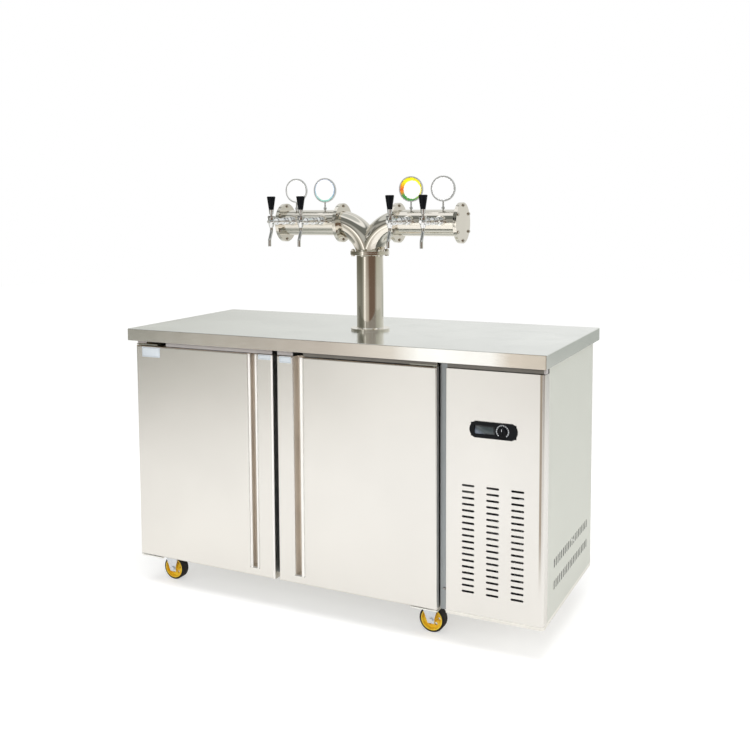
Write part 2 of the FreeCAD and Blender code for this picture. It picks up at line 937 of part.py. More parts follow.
def make_brackets():
    """An L-shaped bracket with its pin above and below each door."""
    brackets = []
    for door, side in ((LEFT_DOOR, 1), (RIGHT_DOOR, -1)):
        edge = door[0] if side > 0 else door[1]
        reach = edge + S.bracket_length * side
        span = (edge, reach) if side > 0 else (reach, edge)
        depth = (FRONT + S.bracket_front_inset, FRAME_FRONT)
        upright_depth = (FRAME_FRONT - S.bracket_plate, FRAME_FRONT)
        pivot = (pivot_of(door, side), FRONT + S.pivot_inset)
        top = DOOR_TOP + S.bracket_gap
        bottom = S.door_bottom - S.bracket_gap - S.bracket_plate
        upper = fuse("upper_bracket", box("upper_plate", span, depth, (top, top + S.bracket_plate)),
                     box("upper_flange", span, upright_depth, (top, UNDERSIDE - S.bracket_clearance)),
                     rod("upper_pin", "Z", S.pin_radius, (*pivot, DOOR_TOP - S.pin_depth),
                         S.pin_depth + S.bracket_gap + S.bracket_plate))
        lower = fuse("lower_bracket", box("lower_plate", span, depth, (bottom, bottom + S.bracket_plate)),
                     box("lower_flange", span, upright_depth, (bottom, FLOOR + S.bracket_lift)),
                     rod("lower_pin", "Z", S.pin_radius, (*pivot, bottom),
                         S.pin_depth + S.bracket_gap + S.bracket_plate))
        for bracket in (upper, lower):
            brackets.append(cut("bracket_cut", bracket, *screw_bores("bracket")))
    node("hinge_brackets", group("bracket_group", brackets))


# ---------------------------------------------------------------- doors


def channel_of(door, side):
    """The finger channel's width range, next to the strip at the door's free edge."""
    if side > 0:
        far = door[1] - S.strip_width
        return (far - S.channel_width, far)
    near = door[0] + S.strip_width
    return (near, near + S.channel_width)


def door_form(name, door, side, inset):
    """The door's outer form, moved inwards by inset on every face but the rear one."""
    form = Solid(name)
    front = FRONT + inset
    rear = DOOR_REAR - S.door_liner_thickness
    height = (S.door_bottom + inset, DOOR_TOP - inset)
    face = form.polygon("XZ_Plane", rectangle(grow(door, -inset), height), -front)
    form.pad(face, rear - front, reverse=True)
    channel_x = grow(channel_of(door, side), inset)
    channel_z = (S.door_bottom + S.channel_bottom - inset, DOOR_TOP + PAST)
    channel = form.polygon("XZ_Plane", rectangle(channel_x, channel_z), -front)
    form.pocket(channel, S.channel_depth)
    form.fillet(edges_in_plane("Y", front), S.door_edge_radius - inset)
    return form.body


def pin_bores(name, door, side):
    radius = S.pin_radius + S.running_clearance
    pivot = (pivot_of(door, side), FRONT + S.pivot_inset)
    length = S.pin_depth + PAST * 2
    low = rod(name + "_low_bore", "Z", radius, (*pivot, S.door_bottom - PAST), length)
    high = rod(name + "_high_bore", "Z", radius, (*pivot, DOOR_TOP - S.pin_depth - PAST), length)
    return low, high


def make_door(name, door, side):
    shell = cut(name + "_shell_hollow", door_form(name + "_outer", door, side, ZERO),
                door_form(name + "_inner", door, side, S.door_skin))
    node(name + "_shell", cut(name + "_shell_cut", shell, *pin_bores(name + "_shell", door, side)))

    plate_x = grow(door, -S.door_liner_inset)
    plate_z = (S.door_bottom + S.door_liner_inset, DOOR_TOP - S.door_liner_inset)
    plate = box(name + "_liner_plate", plate_x, (DOOR_REAR - S.door_liner_thickness, DOOR_REAR), plate_z)
    filling = fuse(name + "_liner_fuse", door_form(name + "_filling", door, side, S.door_skin), plate)
    node(name + "_liner", cut(name + "_liner_cut", filling, *pin_bores(name + "_liner", door, side)))

    outer_x = grow(door, -S.gasket_inset)
    outer_z = (S.door_bottom + S.gasket_inset, DOOR_TOP - S.gasket_inset)
    depth = (DOOR_REAR, DOOR_REAR + S.gasket_thickness)
    hollow = box(name + "_gasket_hollow", grow(outer_x, -S.gasket_width),
                 grow(depth, PAST), grow(outer_z, -S.gasket_width))
    ring = box(name + "_gasket_block", outer_x, depth, outer_z)
    node(name + "_gasket", cut(name + "_gasket_cut", ring, hollow))


# ---------------------------------------------------------------- machine bay


def panel_form(name, x, y, z, inset):
    """A machine panel's outer form with its rounded corner, moved inwards by inset."""
    form = Solid(name)
    within_x = grow(x, -inset)
    within_y = (y[0] + inset, y[1])
    outline = form.polygon("XY_Plane", rectangle(within_x, within_y), z[0] + inset)
    form.pad(outline, z[1] - z[0] - 2 * inset)
    form.fillet(upright_at(within_x[1], within_y[0]), S.panel_corner - inset)
    form.fillet(upright_at(within_x[0], within_y[0]), S.panel_edge - inset)
    return form


def make_front_panel():
    x, y, z = (BAY, RIGHT), (FRONT, FRONT + S.panel_return), (S.panel_bottom, DOOR_TOP)
    outer = panel_form("grille_outer", x, y, z, ZERO)
    slots = outer.sketch("XZ_Plane", -FRONT)
    for column in range(int(S.slot_columns.value)):
        left = BAY + S.slot_first + S.slot_spacing * column
        stadium(slots, left, S.slot_top - S.slot_height, S.slot_length, S.slot_height)
    cutting = outer.pocket(slots, S.panel_skin + PAST)
    outer.row(cutting, slots, "V_Axis", S.slot_pitch, S.slot_count, reverse=True)
    inner = panel_form("grille_inner", x, y, z, S.panel_skin)
    shell = cut("grille_shell", outer.body, inner.body)
    left, right, low, high = thermostat_frame()
    edge = S.thermostat_border
    hole = box("thermostat_cut_out", grow((left, right), -edge), (FRONT - PAST, FRONT + S.panel_skin + PAST),
               grow((low, high), -edge))
    node("machine_front_panel", cut("grille_cut", shell, hole))


def make_side_panel():
    panel = Solid("side_sheet")
    y = (FRONT + S.panel_return, REAR - S.panel_return)
    outline = panel.polygon("YZ_Plane", rectangle(y, (S.panel_bottom, UNDERSIDE)), RIGHT - S.panel_skin)
    panel.pad(outline, S.panel_skin)
    slits = panel.sketch("YZ_Plane", RIGHT)
    start = FRONT + S.slit_front
    for level in (S.slit_upper, S.slit_lower):
        stadium(slits, start, level - S.slit_length, S.slit_width, S.slit_length)
    cutting = panel.pocket(slits, S.panel_skin + PAST)
    panel.row(cutting, slits, "H_Axis", S.slit_pitch, S.slit_count)
    node("machine_side_panel", panel.body)


def make_back_panel():
    x, y, z = (BAY, RIGHT), (REAR - S.panel_return, REAR), (S.panel_bottom, UNDERSIDE)
    inset = S.panel_skin
    block = box("back_block", x, y, z)
    hollow = box("back_hollow", grow(x, -inset), (y[0] - PAST, y[1] - inset), grow(z, -inset))
    tools = [hollow]
    for index in range(int(S.slot_count.value)):
        level = S.slot_top - S.slot_pitch * index
        tools.append(box("back_slot", (BAY + S.slot_first, RIGHT - S.slot_first),
                         grow((REAR - inset, REAR), PAST), (level - S.slot_height, level)))
    tools.append(rod("gland_bore", "Y", S.gland_radius, (BAY_MIDDLE, REAR - inset - PAST, S.gland_level),
                     inset + PAST * 2))
    node("machine_back_panel", cut("back_cut", block, *tools))


def make_tray():
    """The pan that the machine stands on; its rim carries the panels round the bay."""
    sheet = S.tray_sheet
    x, z = (BAY, RIGHT), (S.bay_bottom, S.panel_bottom)
    outer = panel_form("tray_outer", x, (FRONT, REAR), z, ZERO)
    inner = panel_form("tray_inner", x, (FRONT, REAR - sheet), (z[0], z[1] + sheet + PAST), sheet)
    node("machine_base", cut("tray_pan", outer.body, inner.body))


def make_gland():
    x, z = BAY_MIDDLE, S.gland_level
    wall = REAR - S.panel_skin
    inner = rod("gland_body", "Y", S.gland_radius, (x, wall - S.gland_length, z), S.gland_length * 2)
    flange = rod("gland_flange", "Y", S.gland_flange_radius, (x, REAR, z), S.gland_flange_thickness)
    nut = hexagon("gland_nut", "Y", S.gland_flange_radius, (x, wall - S.gland_nut_thickness, z),
                  S.gland_nut_thickness)
    bore = rod("gland_cord_bore", "Y", S.gland_bore_radius, (x, wall - S.gland_length - PAST, z),
               S.gland_length * 2 + PAST * 2)
    node("cord_gland", cut("gland_cut", fuse("gland_fuse", inner, flange, nut), bore))


def stub_places():
    """Where the pipes leave the compressor: the suction stub, then the discharge stub."""
    return about(BAY_MIDDLE, S.stub_offset)


# the can's outline as shares of its radius and height
CAN_PROFILE = ((0, 0), (0.7, 0), (1, 0.11), (1, 0.72), (0.86, 0.88), (0.5, 0.98), (0, 1))


def make_compressor():
    base = S.bay_bottom + S.tray_sheet
    radius, height = S.compressor_radius, S.compressor_height
    can = Solid("compressor_can")
    can.revolve(can.polygon("XZ_Plane", [(radius * out, height * up) for out, up in CAN_PROFILE]))
    floor = base + S.compressor_foot
    body = can.place(BAY_MIDDLE, S.compressor_y, floor)
    half = S.compressor_plate / 2
    plate_x, plate_y = about(BAY_MIDDLE, half), about(S.compressor_y, half)
    plate = box("compressor_plate_block", plate_x, plate_y, (floor, floor + S.tray_sheet))
    feet = []
    for x in (plate_x[0] + S.compressor_foot, plate_x[1] - S.compressor_foot):
        for y in (plate_y[0] + S.compressor_foot, plate_y[1] - S.compressor_foot):
            feet.append(rod("compressor_foot_pad", "Z", S.foot_pad_radius, (x, y, base), S.compressor_foot))
    relay_x = (BAY_MIDDLE - radius - S.relay_reach, BAY_MIDDLE - S.relay_root)
    relay = box("compressor_relay", relay_x, about(S.compressor_y, S.relay_width / 2),
                (floor + S.relay_low, floor + S.relay_high))
    stubs = []
    for x in stub_places():
        stub_low = floor + height - S.stub_length
        stubs.append(rod("compressor_stub", "Z", S.refrigerant_radius + S.stub_wall,
                         (x, S.compressor_y, stub_low), S.stub_length * 2))
    node("compressor", fuse("compressor_fuse", body, plate, relay, *feet, *stubs))


def fin_block(name, x, y, z, along, number):
    """Upright fins on cross tubes between two end plates: the fins stack along X or Y."""
    span = x if along == "X" else y
    pitch = (span[1] - span[0]) / (number - 1)
    sheet = pitch * S.fin_share
    fins = []
    for index in range(number):
        near = span[0] + pitch * index - (sheet if index == number - 1 else ZERO)
        slab = (near, near + sheet)
        fins.append(box(name + "_fin", slab if along == "X" else x, y if along == "X" else slab, z))
    rows = int(S.coil_rows.value)
    for index in range(rows):
        level = z[0] + (z[1] - z[0]) * ((index + 0.5) / rows)
        middle = (y[0] + y[1]) / 2 if along == "X" else (x[0] + x[1]) / 2
        start = (span[0], middle, level) if along == "X" else (middle, span[0], level)
        fins.append(rod(name + "_tube", along, S.refrigerant_radius, start, span[1] - span[0]))
    return fuse(name + "_fuse", *fins)


def condenser_box():
    half = S.condenser_width / 2
    y = FRONT + S.condenser_front
    low = S.bay_bottom + S.tray_sheet
    return about(BAY_MIDDLE, half), (y, y + S.condenser_depth), (low, low + S.condenser_height)


def make_condenser():
    x, y, z = condenser_box()
    node("condenser", fin_block("condenser", x, y, z, "X", int(S.condenser_fins.value)))

    sheet = S.shroud_sheet
    shroud_y = (y[1], y[1] + S.shroud_depth)
    centre = (BAY_MIDDLE, (z[0] + z[1]) / 2)
    block = box("shroud_block", x, shroud_y, z)
    hollow = box("shroud_hollow", grow(x, -sheet), (shroud_y[0] - PAST, shroud_y[1] - sheet),
                 grow(z, -sheet))
    opening = rod("shroud_opening", "Y", S.fan_opening, (centre[0], shroud_y[0], centre[1]),
                  S.shroud_depth + PAST)
    shroud = cut("shroud_cut", block, hollow, opening)
    motor_y = shroud_y[1] + S.motor_gap
    motor = rod("fan_motor_can", "Y", S.motor_radius, (centre[0], motor_y, centre[1]), S.motor_length)
    strut_z = about(centre[1], S.strut_width / 2)
    strut = box("fan_motor_strut", x, (motor_y, motor_y + sheet * 2), strut_z)
    posts = [box("fan_motor_post", post_x, (shroud_y[1], motor_y), strut_z)
             for post_x in ((x[0], x[0] + S.strut_width), (x[1] - S.strut_width, x[1]))]
    bore = rod("fan_motor_bore", "Y", S.fan_shaft_radius + S.running_clearance,
               (centre[0], motor_y - PAST, centre[1]), S.shaft_bore_depth + PAST)
    node("condenser_fan_motor", cut("motor_cut", fuse("motor_fuse", shroud, motor, strut, *posts), bore))

    fan = make_fan("condenser_fan_wheel", S.fan_radius, S.shaft_depth + S.motor_gap)
    fan_front = motor_y - S.motor_gap - sheet - S.fan_depth
    rotation = FreeCAD.Rotation(FreeCAD.Vector(1, 0, 0), -90)
    node("condenser_fan", fan.place(centre[0], fan_front, centre[1], rotation))


def make_fan(name, radius, shaft_length):
    """An axial fan about its own Z axis: hub, pitched blades and a shaft behind the hub."""
    fan = Solid(name)
    hub = fan.circles("XY_Plane", [(ZERO, ZERO, S.fan_hub_radius)])
    fan.pad(hub, S.fan_depth)
    sweep, section_width, root = S.fan_blade_sweep, S.fan_blade_section, S.fan_blade_root
    near, far = S.fan_blade_margin, S.fan_depth - S.fan_blade_margin
    section = [(-sweep, near), (-sweep + section_width, near), (sweep, far), (sweep - section_width, far)]
    blade = fan.pad(fan.polygon("YZ_Plane", section, root), radius - root)
    fan.ring(blade, hub, S.fan_blades)
    shaft = fan.circles("XY_Plane", [(ZERO, ZERO, S.fan_shaft_radius)], S.fan_depth)
    fan.pad(shaft, shaft_length)
    return fan


def make_pipes():
    """Copper pipes from the compressor to the condenser and on to the evaporator."""
    x_box, y_box, z_box = condenser_box()
    coil_x, coil_y, coil_z = coil_box()
    top = S.bay_bottom + S.tray_sheet + S.compressor_foot + S.compressor_height + S.stub_length
    bend = S.refrigerant_radius * S.pipe_bend
    offset = S.pipe_offset
    loop = bend + S.pipe_margin
    middle_y = (y_box[0] + y_box[1]) / 2
    suction_x, discharge_x = stub_places()
    coil_end = coil_y[1] - S.pipe_margin

    high = top + S.discharge_rise
    side_x = x_box[1] + loop
    discharge = [(discharge_x, S.compressor_y, top), (discharge_x, S.compressor_y, high),
                 (side_x, S.compressor_y, high), (side_x, middle_y, high), (x_box[1], middle_y, high)]

    inner_x, inner_z = PASSAGE_X - offset, PIPE_Z - offset
    suction = [(suction_x, S.compressor_y, top), (suction_x, S.compressor_y, inner_z),
               (suction_x, PIPE_Y - offset, inner_z), (inner_x, PIPE_Y - offset, inner_z),
               (inner_x, coil_end, inner_z), (inner_x, coil_end, coil_z[1])]

    low = z_box[0] + S.liquid_rise
    outer_x, outer_z = PASSAGE_X + offset, PIPE_Z + offset
    liquid_x = x_box[0] - loop
    liquid = [(x_box[0], middle_y, low), (liquid_x, middle_y, low), (liquid_x, PIPE_Y + offset, low),
              (liquid_x, PIPE_Y + offset, outer_z), (outer_x, PIPE_Y + offset, outer_z),
              (outer_x, coil_end, outer_z), (outer_x, coil_end, coil_z[1])]
    shapes = []
    for route in (discharge, suction, liquid):
        points = [vector(point) for point in route]
        shapes.append(tube(points, [bend.value] * (len(points) - 2), S.refrigerant_radius.value))
    drier_start = vector((liquid_x, y_box[1] + S.drier_length, low))
    drier = Part.makeCylinder(S.drier_radius.value, S.drier_length.value, drier_start,
                              FreeCAD.Vector(0, 1, 0))
    shapes[2] = shapes[2].fuse(drier)
    node("refrigerant_pipes", made("pipe_group", Part.makeCompound(shapes)))


# ---------------------------------------------------------------- evaporator


def cover_box():
    width = S.evaporator_width / 2 + S.cover_margin
    middle = (INSIDE_Y[0] + INSIDE_Y[1]) / 2
    low = S.evaporator_bottom - S.cover_margin
    return (INSIDE_X[1] - S.cover_depth, INSIDE_X[1]), about(middle, width), (low, low + S.cover_height)


def coil_box():
    middle = (INSIDE_Y[0] + INSIDE_Y[1]) / 2
    low = S.evaporator_bottom
    return ((INSIDE_X[1] - S.evaporator_depth, INSIDE_X[1]), about(middle, S.evaporator_width / 2),
            (low, low + S.evaporator_height))


def make_evaporator():
    x, y, z = cover_box()
    middle = (y[0] + y[1]) / 2
    inlet_low = S.evaporator_bottom + S.cover_inlet_start
    node("evaporator", fin_block("evaporator", *coil_box(), "Y", int(S.condenser_fins.value)))

    sheet = S.cover_sheet
    fan_z = z[1] - S.evaporator_fan_opening - S.cover_margin
    block = box("cover_block", x, y, z)
    through = sheet + PAST * 2
    hollow = box("cover_hollow", (x[0] + sheet, x[1] + PAST), grow(y, -sheet), grow(z, -sheet))
    opening = rod("cover_fan_opening", "X", S.evaporator_fan_opening, (x[0] - PAST, middle, fan_z), through)
    inlet = box("cover_inlet", grow((x[0], x[0] + sheet), PAST), about(middle, S.cover_inlet_width / 2),
                (inlet_low, inlet_low + S.cover_inlet_height))
    passage = rod("cover_pipe_passage", "Y", S.partition_bore_radius,
                  (PASSAGE_X, y[1] - sheet - PAST, PIPE_Z), through)
    shell = cut("cover_shell", block, hollow, opening, inlet, passage)
    motor_x = (x[1] - S.motor_length, x[1])
    motor = rod("evaporator_motor", "X", S.motor_radius, (motor_x[0], middle, fan_z), S.motor_length)
    bore = rod("evaporator_motor_bore", "X", S.fan_shaft_radius + S.running_clearance,
               (motor_x[0] - PAST, middle, fan_z), S.shaft_bore_depth + PAST)
    bracket = box("evaporator_motor_bracket", (x[1] - sheet * 2, x[1]), y, about(fan_z, S.strut_width))
    node("evaporator_cover", cut("cover_cut", fuse("cover_fuse", shell, motor, bracket), bore))

    fan = make_fan("evaporator_fan_wheel", S.evaporator_fan_radius, S.shaft_depth)
    rotation = FreeCAD.Rotation(FreeCAD.Vector(0, 1, 0), 90)
    start = motor_x[0] - S.fan_depth - S.motor_gap
    node("evaporator_fan", fan.place(start, middle, fan_z, rotation))


# ---------------------------------------------------------------- thermostat


def thermostat_frame():
    left = BAY + S.thermostat_left
    low = S.thermostat_level - S.thermostat_height / 2
    return left, left + S.thermostat_width, low, low + S.thermostat_height


def make_thermostat():
    left, right, low, high = thermostat_frame()
    half = S.thermostat_height / 2
    bulge = S.thermostat_bulge
    radius = (half * half + bulge * bulge) / (2 * bulge)
    proud = (FRONT - S.thermostat_rim, FRONT)
    middle_x = (left + bulge, right - bulge)
    blank = box("bezel_middle", middle_x, proud, (low, high))
    ends = []
    for name, centre, span in (("left", left + radius, (left, left + bulge)),
                               ("right", right - radius, (right - bulge, right))):
        disc = rod(f"bezel_{name}_disc", "Y", radius, (centre, proud[0], S.thermostat_level),
                   S.thermostat_rim)
        limit = box(f"bezel_{name}_limit", span, proud, (low, high))
        ends.append(common(f"bezel_{name}_end", disc, limit))
    edge = S.thermostat_border + S.thermostat_fit
    back = box("bezel_back", grow((left, right), -edge), (FRONT, FRONT + S.thermostat_depth),
               grow((low, high), -edge))
    solid = fuse("bezel_fuse", blank, *ends, back)
    window_x = (left + bulge, left + bulge + S.window_width)
    window = box("bezel_window", window_x, (proud[0] - PAST, proud[0] + S.window_depth),
                 about(S.thermostat_level, S.window_height / 2))
    dial = (right - S.dial_from_right, proud[0], S.thermostat_level)
    recess = rod("bezel_dial_recess", "Y", S.dial_radius, (dial[0], dial[1] - PAST, dial[2]),
                 S.thermostat_recess + PAST)
    bore = rod("bezel_spindle_bore", "Y", S.spindle_radius + S.running_clearance,
               (dial[0], dial[1], dial[2]), S.thermostat_depth)
    node("thermostat_housing", cut("bezel_cut", solid, window, recess, bore))

    knob = Solid("thermostat_dial_knob")
    gap, height = S.knob_gap, S.knob_height
    rim = S.knob_radius - S.knob_taper
    outline = [(ZERO, gap), (S.knob_radius, gap), (rim, height - S.knob_bevel),
               (rim - S.knob_bevel, height), (ZERO, height)]
    knob.revolve(knob.polygon("XZ_Plane", outline))
    grip = rectangle(about(ZERO, S.knob_grip_width / 2), about(ZERO, S.knob_grip_length / 2))
    knob.pad(knob.polygon("XY_Plane", grip, height), S.knob_grip_height)
    spindle = knob.circles("XY_Plane", [(ZERO, ZERO, S.spindle_radius)], gap)
    knob.pad(spindle, S.spindle_length, reverse=True)
    rotation = FreeCAD.Rotation(FreeCAD.Vector(1, 0, 0), 90)
    seat = proud[0] + S.thermostat_recess
    node("thermostat_knob", knob.place(dial[0], seat, dial[2], rotation))


# ---------------------------------------------------------------- tower


def make_column():
    column = Solid("column_turning")
    outer, inner = S.column_radius, S.column_radius - S.tube_wall
    foot, top = S.base_flange_thickness, S.column_length - S.flange_thickness
    weld = S.weld_bead
    outline = [(inner, ZERO), (S.flange_radius, ZERO), (S.flange_radius, foot), (outer + weld, foot),
               (outer, foot + weld), (outer, top - weld), (outer + weld, top), (S.flange_radius, top),
               (S.flange_radius, S.column_length), (inner, S.column_length)]
    column.revolve(column.polygon("XZ_Plane", outline))
    first = math.radians(COLUMN_BOLT_START)
    circle = S.bolt_circle
    bore = (circle * math.cos(first), circle * math.sin(first), S.bolt_radius + S.bolt_clearance)
    for level, depth in ((S.base_stud_grip, S.base_stud_grip), (S.column_length, S.flange_thickness)):
        hole = column.circles("XY_Plane", [bore], level)
        column.ring(column.pocket(hole, depth + PAST), hole, S.bolt_count)
    node("tower_column", column.place(TOWER_X, TOWER_Y, S.worktop_height))


def arm_flange(name, side, near):
    """A flange disc across the arm, from the distance near outwards on one side."""
    start = TOWER_X + near if side > 0 else TOWER_X - near - S.flange_thickness
    return rod(name, "X", S.flange_radius, (start, TOWER_Y, ARM_AXIS), S.flange_thickness)


def arm_bores(name, side, near, length):
    start = TOWER_X + near - PAST if side > 0 else TOWER_X - near - length - PAST
    radius = S.arm_bolt_radius + S.bolt_clearance
    return [rod(name, "X", radius, (start, y, z), length + PAST * 2) for y, z in arm_bolt_places()]


def elbow_ring(name, side, radius):
    """A whole ring whose quarter turns the column's axis into the arm's axis."""
    ring = doc.addObject("Part::Torus", name)
    ring.Placement = FreeCAD.Placement(FreeCAD.Vector(), TURN["Y"])
    bind(ring, "Radius1", S.elbow_radius)
    bind(ring, "Radius2", radius)
    put(ring, TOWER_X + S.elbow_radius * side, TOWER_Y, ARM_AXIS - S.elbow_radius)
    return ring


def make_elbows():
    outer, inner = S.arm_radius, S.arm_radius - S.tube_wall
    depth = about(TOWER_Y, outer + PAST)
    height = (JOINT, ARM_AXIS + outer + PAST)
    pieces = []
    tools = []
    for side, name in ((-1, "left"), (1, "right")):
        flange_face = S.elbow_reach - S.flange_thickness
        reach = TOWER_X + flange_face * side
        span = (reach, TOWER_X) if side < 0 else (TOWER_X, reach)
        limit = box(f"{name}_elbow_limit", span, depth, height)
        pieces.append(common(f"{name}_elbow", elbow_ring(f"{name}_elbow_ring", side, outer), limit))
        pieces.append(arm_flange(f"{name}_elbow_flange", side, flange_face))
        tools.append(elbow_ring(f"{name}_elbow_bore", side, inner))
        tools.extend(arm_bores(f"{name}_elbow_bolt_bore", side, flange_face, S.flange_thickness))
    pieces.append(rod("elbow_foot", "Z", S.flange_radius, (TOWER_X, TOWER_Y, JOINT), S.flange_thickness))
    for x, y in column_bolt_places():
        tools.append(rod("elbow_foot_bore", "Z", S.bolt_radius + S.bolt_clearance, (x, y, JOINT - PAST),
                         S.flange_thickness + PAST * 2))
    node("tower_elbows", cut("elbow_cut", fuse("elbow_fuse", *pieces), *tools))


def tap_places():
    inner = S.tap_inner_x
    outer = S.tap_inner_x + S.tap_spacing
    return [TOWER_X - outer, TOWER_X - inner, TOWER_X + inner, TOWER_X + outer]


def tap_axis():
    return ARM_AXIS + S.tap_rise


def make_arms():
    arms = []
    covers = []
    near = S.elbow_reach
    far = near + S.arm_length
    last = far - S.flange_thickness
    for side, name in ((-1, "left"), (1, "right")):
        start = TOWER_X + near if side > 0 else TOWER_X - far
        pieces = [rod(f"{name}_arm_pipe", "X", S.arm_radius, (start, TOWER_Y, ARM_AXIS), S.arm_length),
                  arm_flange(f"{name}_arm_near_flange", side, near),
                  arm_flange(f"{name}_arm_far_flange", side, last)]
        tools = [rod(f"{name}_arm_bore", "X", S.arm_radius - S.tube_wall, (start - PAST, TOWER_Y, ARM_AXIS),
                     S.arm_length + PAST * 2)]
        tools.extend(arm_bores("arm_near_bolt_bore", side, near, S.flange_thickness))
        tools.extend(arm_bores("arm_far_bolt_bore", side, last, S.flange_thickness))
        bosses = []
        for x in tap_places():
            if (x.value - TOWER_X.value) * side > 0:
                front = TOWER_Y - S.boss_reach
                bosses.append(rod("arm_boss", "Y", S.boss_radius, (x, front, tap_axis()), S.boss_reach))
                tools.append(rod("arm_shank_bore", "Y", S.shank_radius + S.running_clearance,
                                 (x, front - PAST, tap_axis()), S.boss_reach))
                tools.append(rod("arm_stem_bore", "Z", S.stem_radius + S.running_clearance,
                                 (x, TOWER_Y - S.medallion_forward, ARM_AXIS), S.arm_radius + PAST))
        arms.append(cut(f"{name}_arm_cut", fuse(f"{name}_arm_fuse", *pieces, *bosses), *tools))
        covers.append(cut(f"{name}_cover_cut", arm_flange(f"{name}_cover", side, far),
                          *arm_bores("cover_bolt_bore", side, far, S.flange_thickness)))
    node("tower_arms", group("arm_group", arms))
    node("arm_end_covers", group("arm_cover_group", covers))


def bolt(axis, radius, head_radius, head_height, start, clamped):
    """A bolt whose head rests on the near side of the clamped plates and its nut on the far side."""
    lead = {"X": (1, 0, 0), "Y": (0, 1, 0), "Z": (0, 0, 1)}[axis]

    def along(distance):
        return tuple(start[i] + distance * lead[i] for i in range(3))

    head = hexagon("bolt_head", axis, head_radius, along(-head_height), head_height)
    nut = hexagon("bolt_nut", axis, head_radius, along(clamped), head_height)
    shank = rod("bolt_shank", axis, radius, start, clamped + head_height + S.bolt_end)
    return fuse("bolt", head, shank, nut)


def make_bolts():
    """The bolts through each pair of flanges and the studs that hold the column to the worktop."""
    clamped = S.flange_thickness * 2
    bolts = []
    for x, y in column_bolt_places():
        start = (x, y, JOINT - S.flange_thickness)
        bolts.append(bolt("Z", S.bolt_radius, S.bolt_head_radius, S.bolt_head_height, start, clamped))
        stud_low = S.worktop_height - S.base_stud_length
        bolts.append(rod("base_stud", "Z", S.bolt_radius, (x, y, stud_low),
                         S.base_stud_length + S.base_stud_grip))
    far = S.elbow_reach + S.arm_length
    for y, z in arm_bolt_places():
        for joint_x in (TOWER_X + S.elbow_reach, TOWER_X - S.elbow_reach, TOWER_X + far, TOWER_X - far):
            start = (joint_x - S.flange_thickness, y, z)
            bolts.append(bolt("X", S.arm_bolt_radius, S.arm_bolt_head_radius, S.arm_bolt_head_height,
                              start, clamped))
    node("flange_bolts", group("bolt_group", bolts))


def make_lines():
    """Four beer lines from the tap shanks through arm, elbow and column into the compartment."""
    lines = []
    end = INSIDE_Z[1] - S.line_drop
    for index, x in enumerate(tap_places()):
        outer = index in (0, 3)
        y = TOWER_Y + S.line_inner_y + (S.line_spacing_y if outer else ZERO)
        column = TOWER_X + S.line_column_x * (-1 if index < 2 else 1)
        route = [(x, TOWER_Y - S.shank_tail, tap_axis()), (x, y, tap_axis()),
                 (column, y, ARM_AXIS), (column, y, end)]
        points = [vector(point) for point in route]
        radii = [S.line_turn.value, S.line_elbow.value]
        shape = tube(points, radii, S.line_radius.value)
        nut = hexagonal_bar(points[-1], S.line_nut_radius.value, S.line_nut_length.value)
        lines.append(shape.fuse(nut))
    node("beer_lines", made("line_group", Part.makeCompound(lines)))


def hexagonal_bar(start, radius, length):
    corners = []
    for turn in ring_angles(as_size(HEXAGON_SIDES), 0):
        corners.append(start + FreeCAD.Vector(radius * math.cos(turn), radius * math.sin(turn), 0))
    face = Part.Face(Part.makePolygon(corners + corners[:1]))
    return face.extrude(FreeCAD.Vector(0, 0, -length))


# ---------------------------------------------------------------- taps


def spout(name, x, y, top):
    """The bent spout: straight down, forward in a gentle S and straight down again."""
    first = top - S.spout_straight
    second = first - S.spout_bend_drop
    front = y - S.spout_forward
    route = [(x, y, top), (x, y, first), (x, front, second), (x, front, second - S.spout_end)]
    points = [vector(point) for point in route]
    radii = [S.spout_bend_radius.value] * 2
    outer = tube(points, radii, S.spout_radius.value)
    inner = tube(points, radii, S.waterway_radius.value)
    return made(name, outer.cut(inner))


def tap_barrel(name, x, seat, level):
    """The turned barrel from the boss forward to the head, with its raised rings."""
    barrel = Solid(name)
    radius, ring, edge = S.barrel_radius, S.barrel_ring_radius, S.barrel_ring_edge
    end = S.tap_reach - S.boss_reach
    outline = [(ZERO, ZERO), (radius, ZERO)]
    for index in range(int(S.barrel_ring_count.value)):
        near = S.barrel_ring_start + S.barrel_ring_pitch * index
        far = near + S.barrel_ring_length
        outline.extend([(radius, near), (ring, near + edge), (ring, far - edge), (radius, far)])
    outline.extend([(radius, end), (ZERO, end)])
    barrel.revolve(barrel.polygon("XZ_Plane", outline))
    forward = FreeCAD.Rotation(FreeCAD.Vector(1, 0, 0), 90)
    return barrel.place(x, seat, level, forward)


def tap_collar(x, seat, level):
    """The fluted nut that holds the tap against its boss."""
    start = seat - S.collar_thickness
    disc = rod("tap_collar_disc", "Y", S.collar_radius, (x, start, level), S.collar_thickness)
    flutes = []
    for turn in ring_angles(S.collar_flutes, 0):
        reach = S.collar_radius + S.flute_radius / 2
        place = (x + reach * math.cos(turn), start - PAST, level + reach * math.sin(turn))
        flutes.append(rod("tap_collar_flute", "Y", S.flute_radius, place, S.collar_thickness + PAST * 2))
    return cut("tap_collar", disc, *flutes)


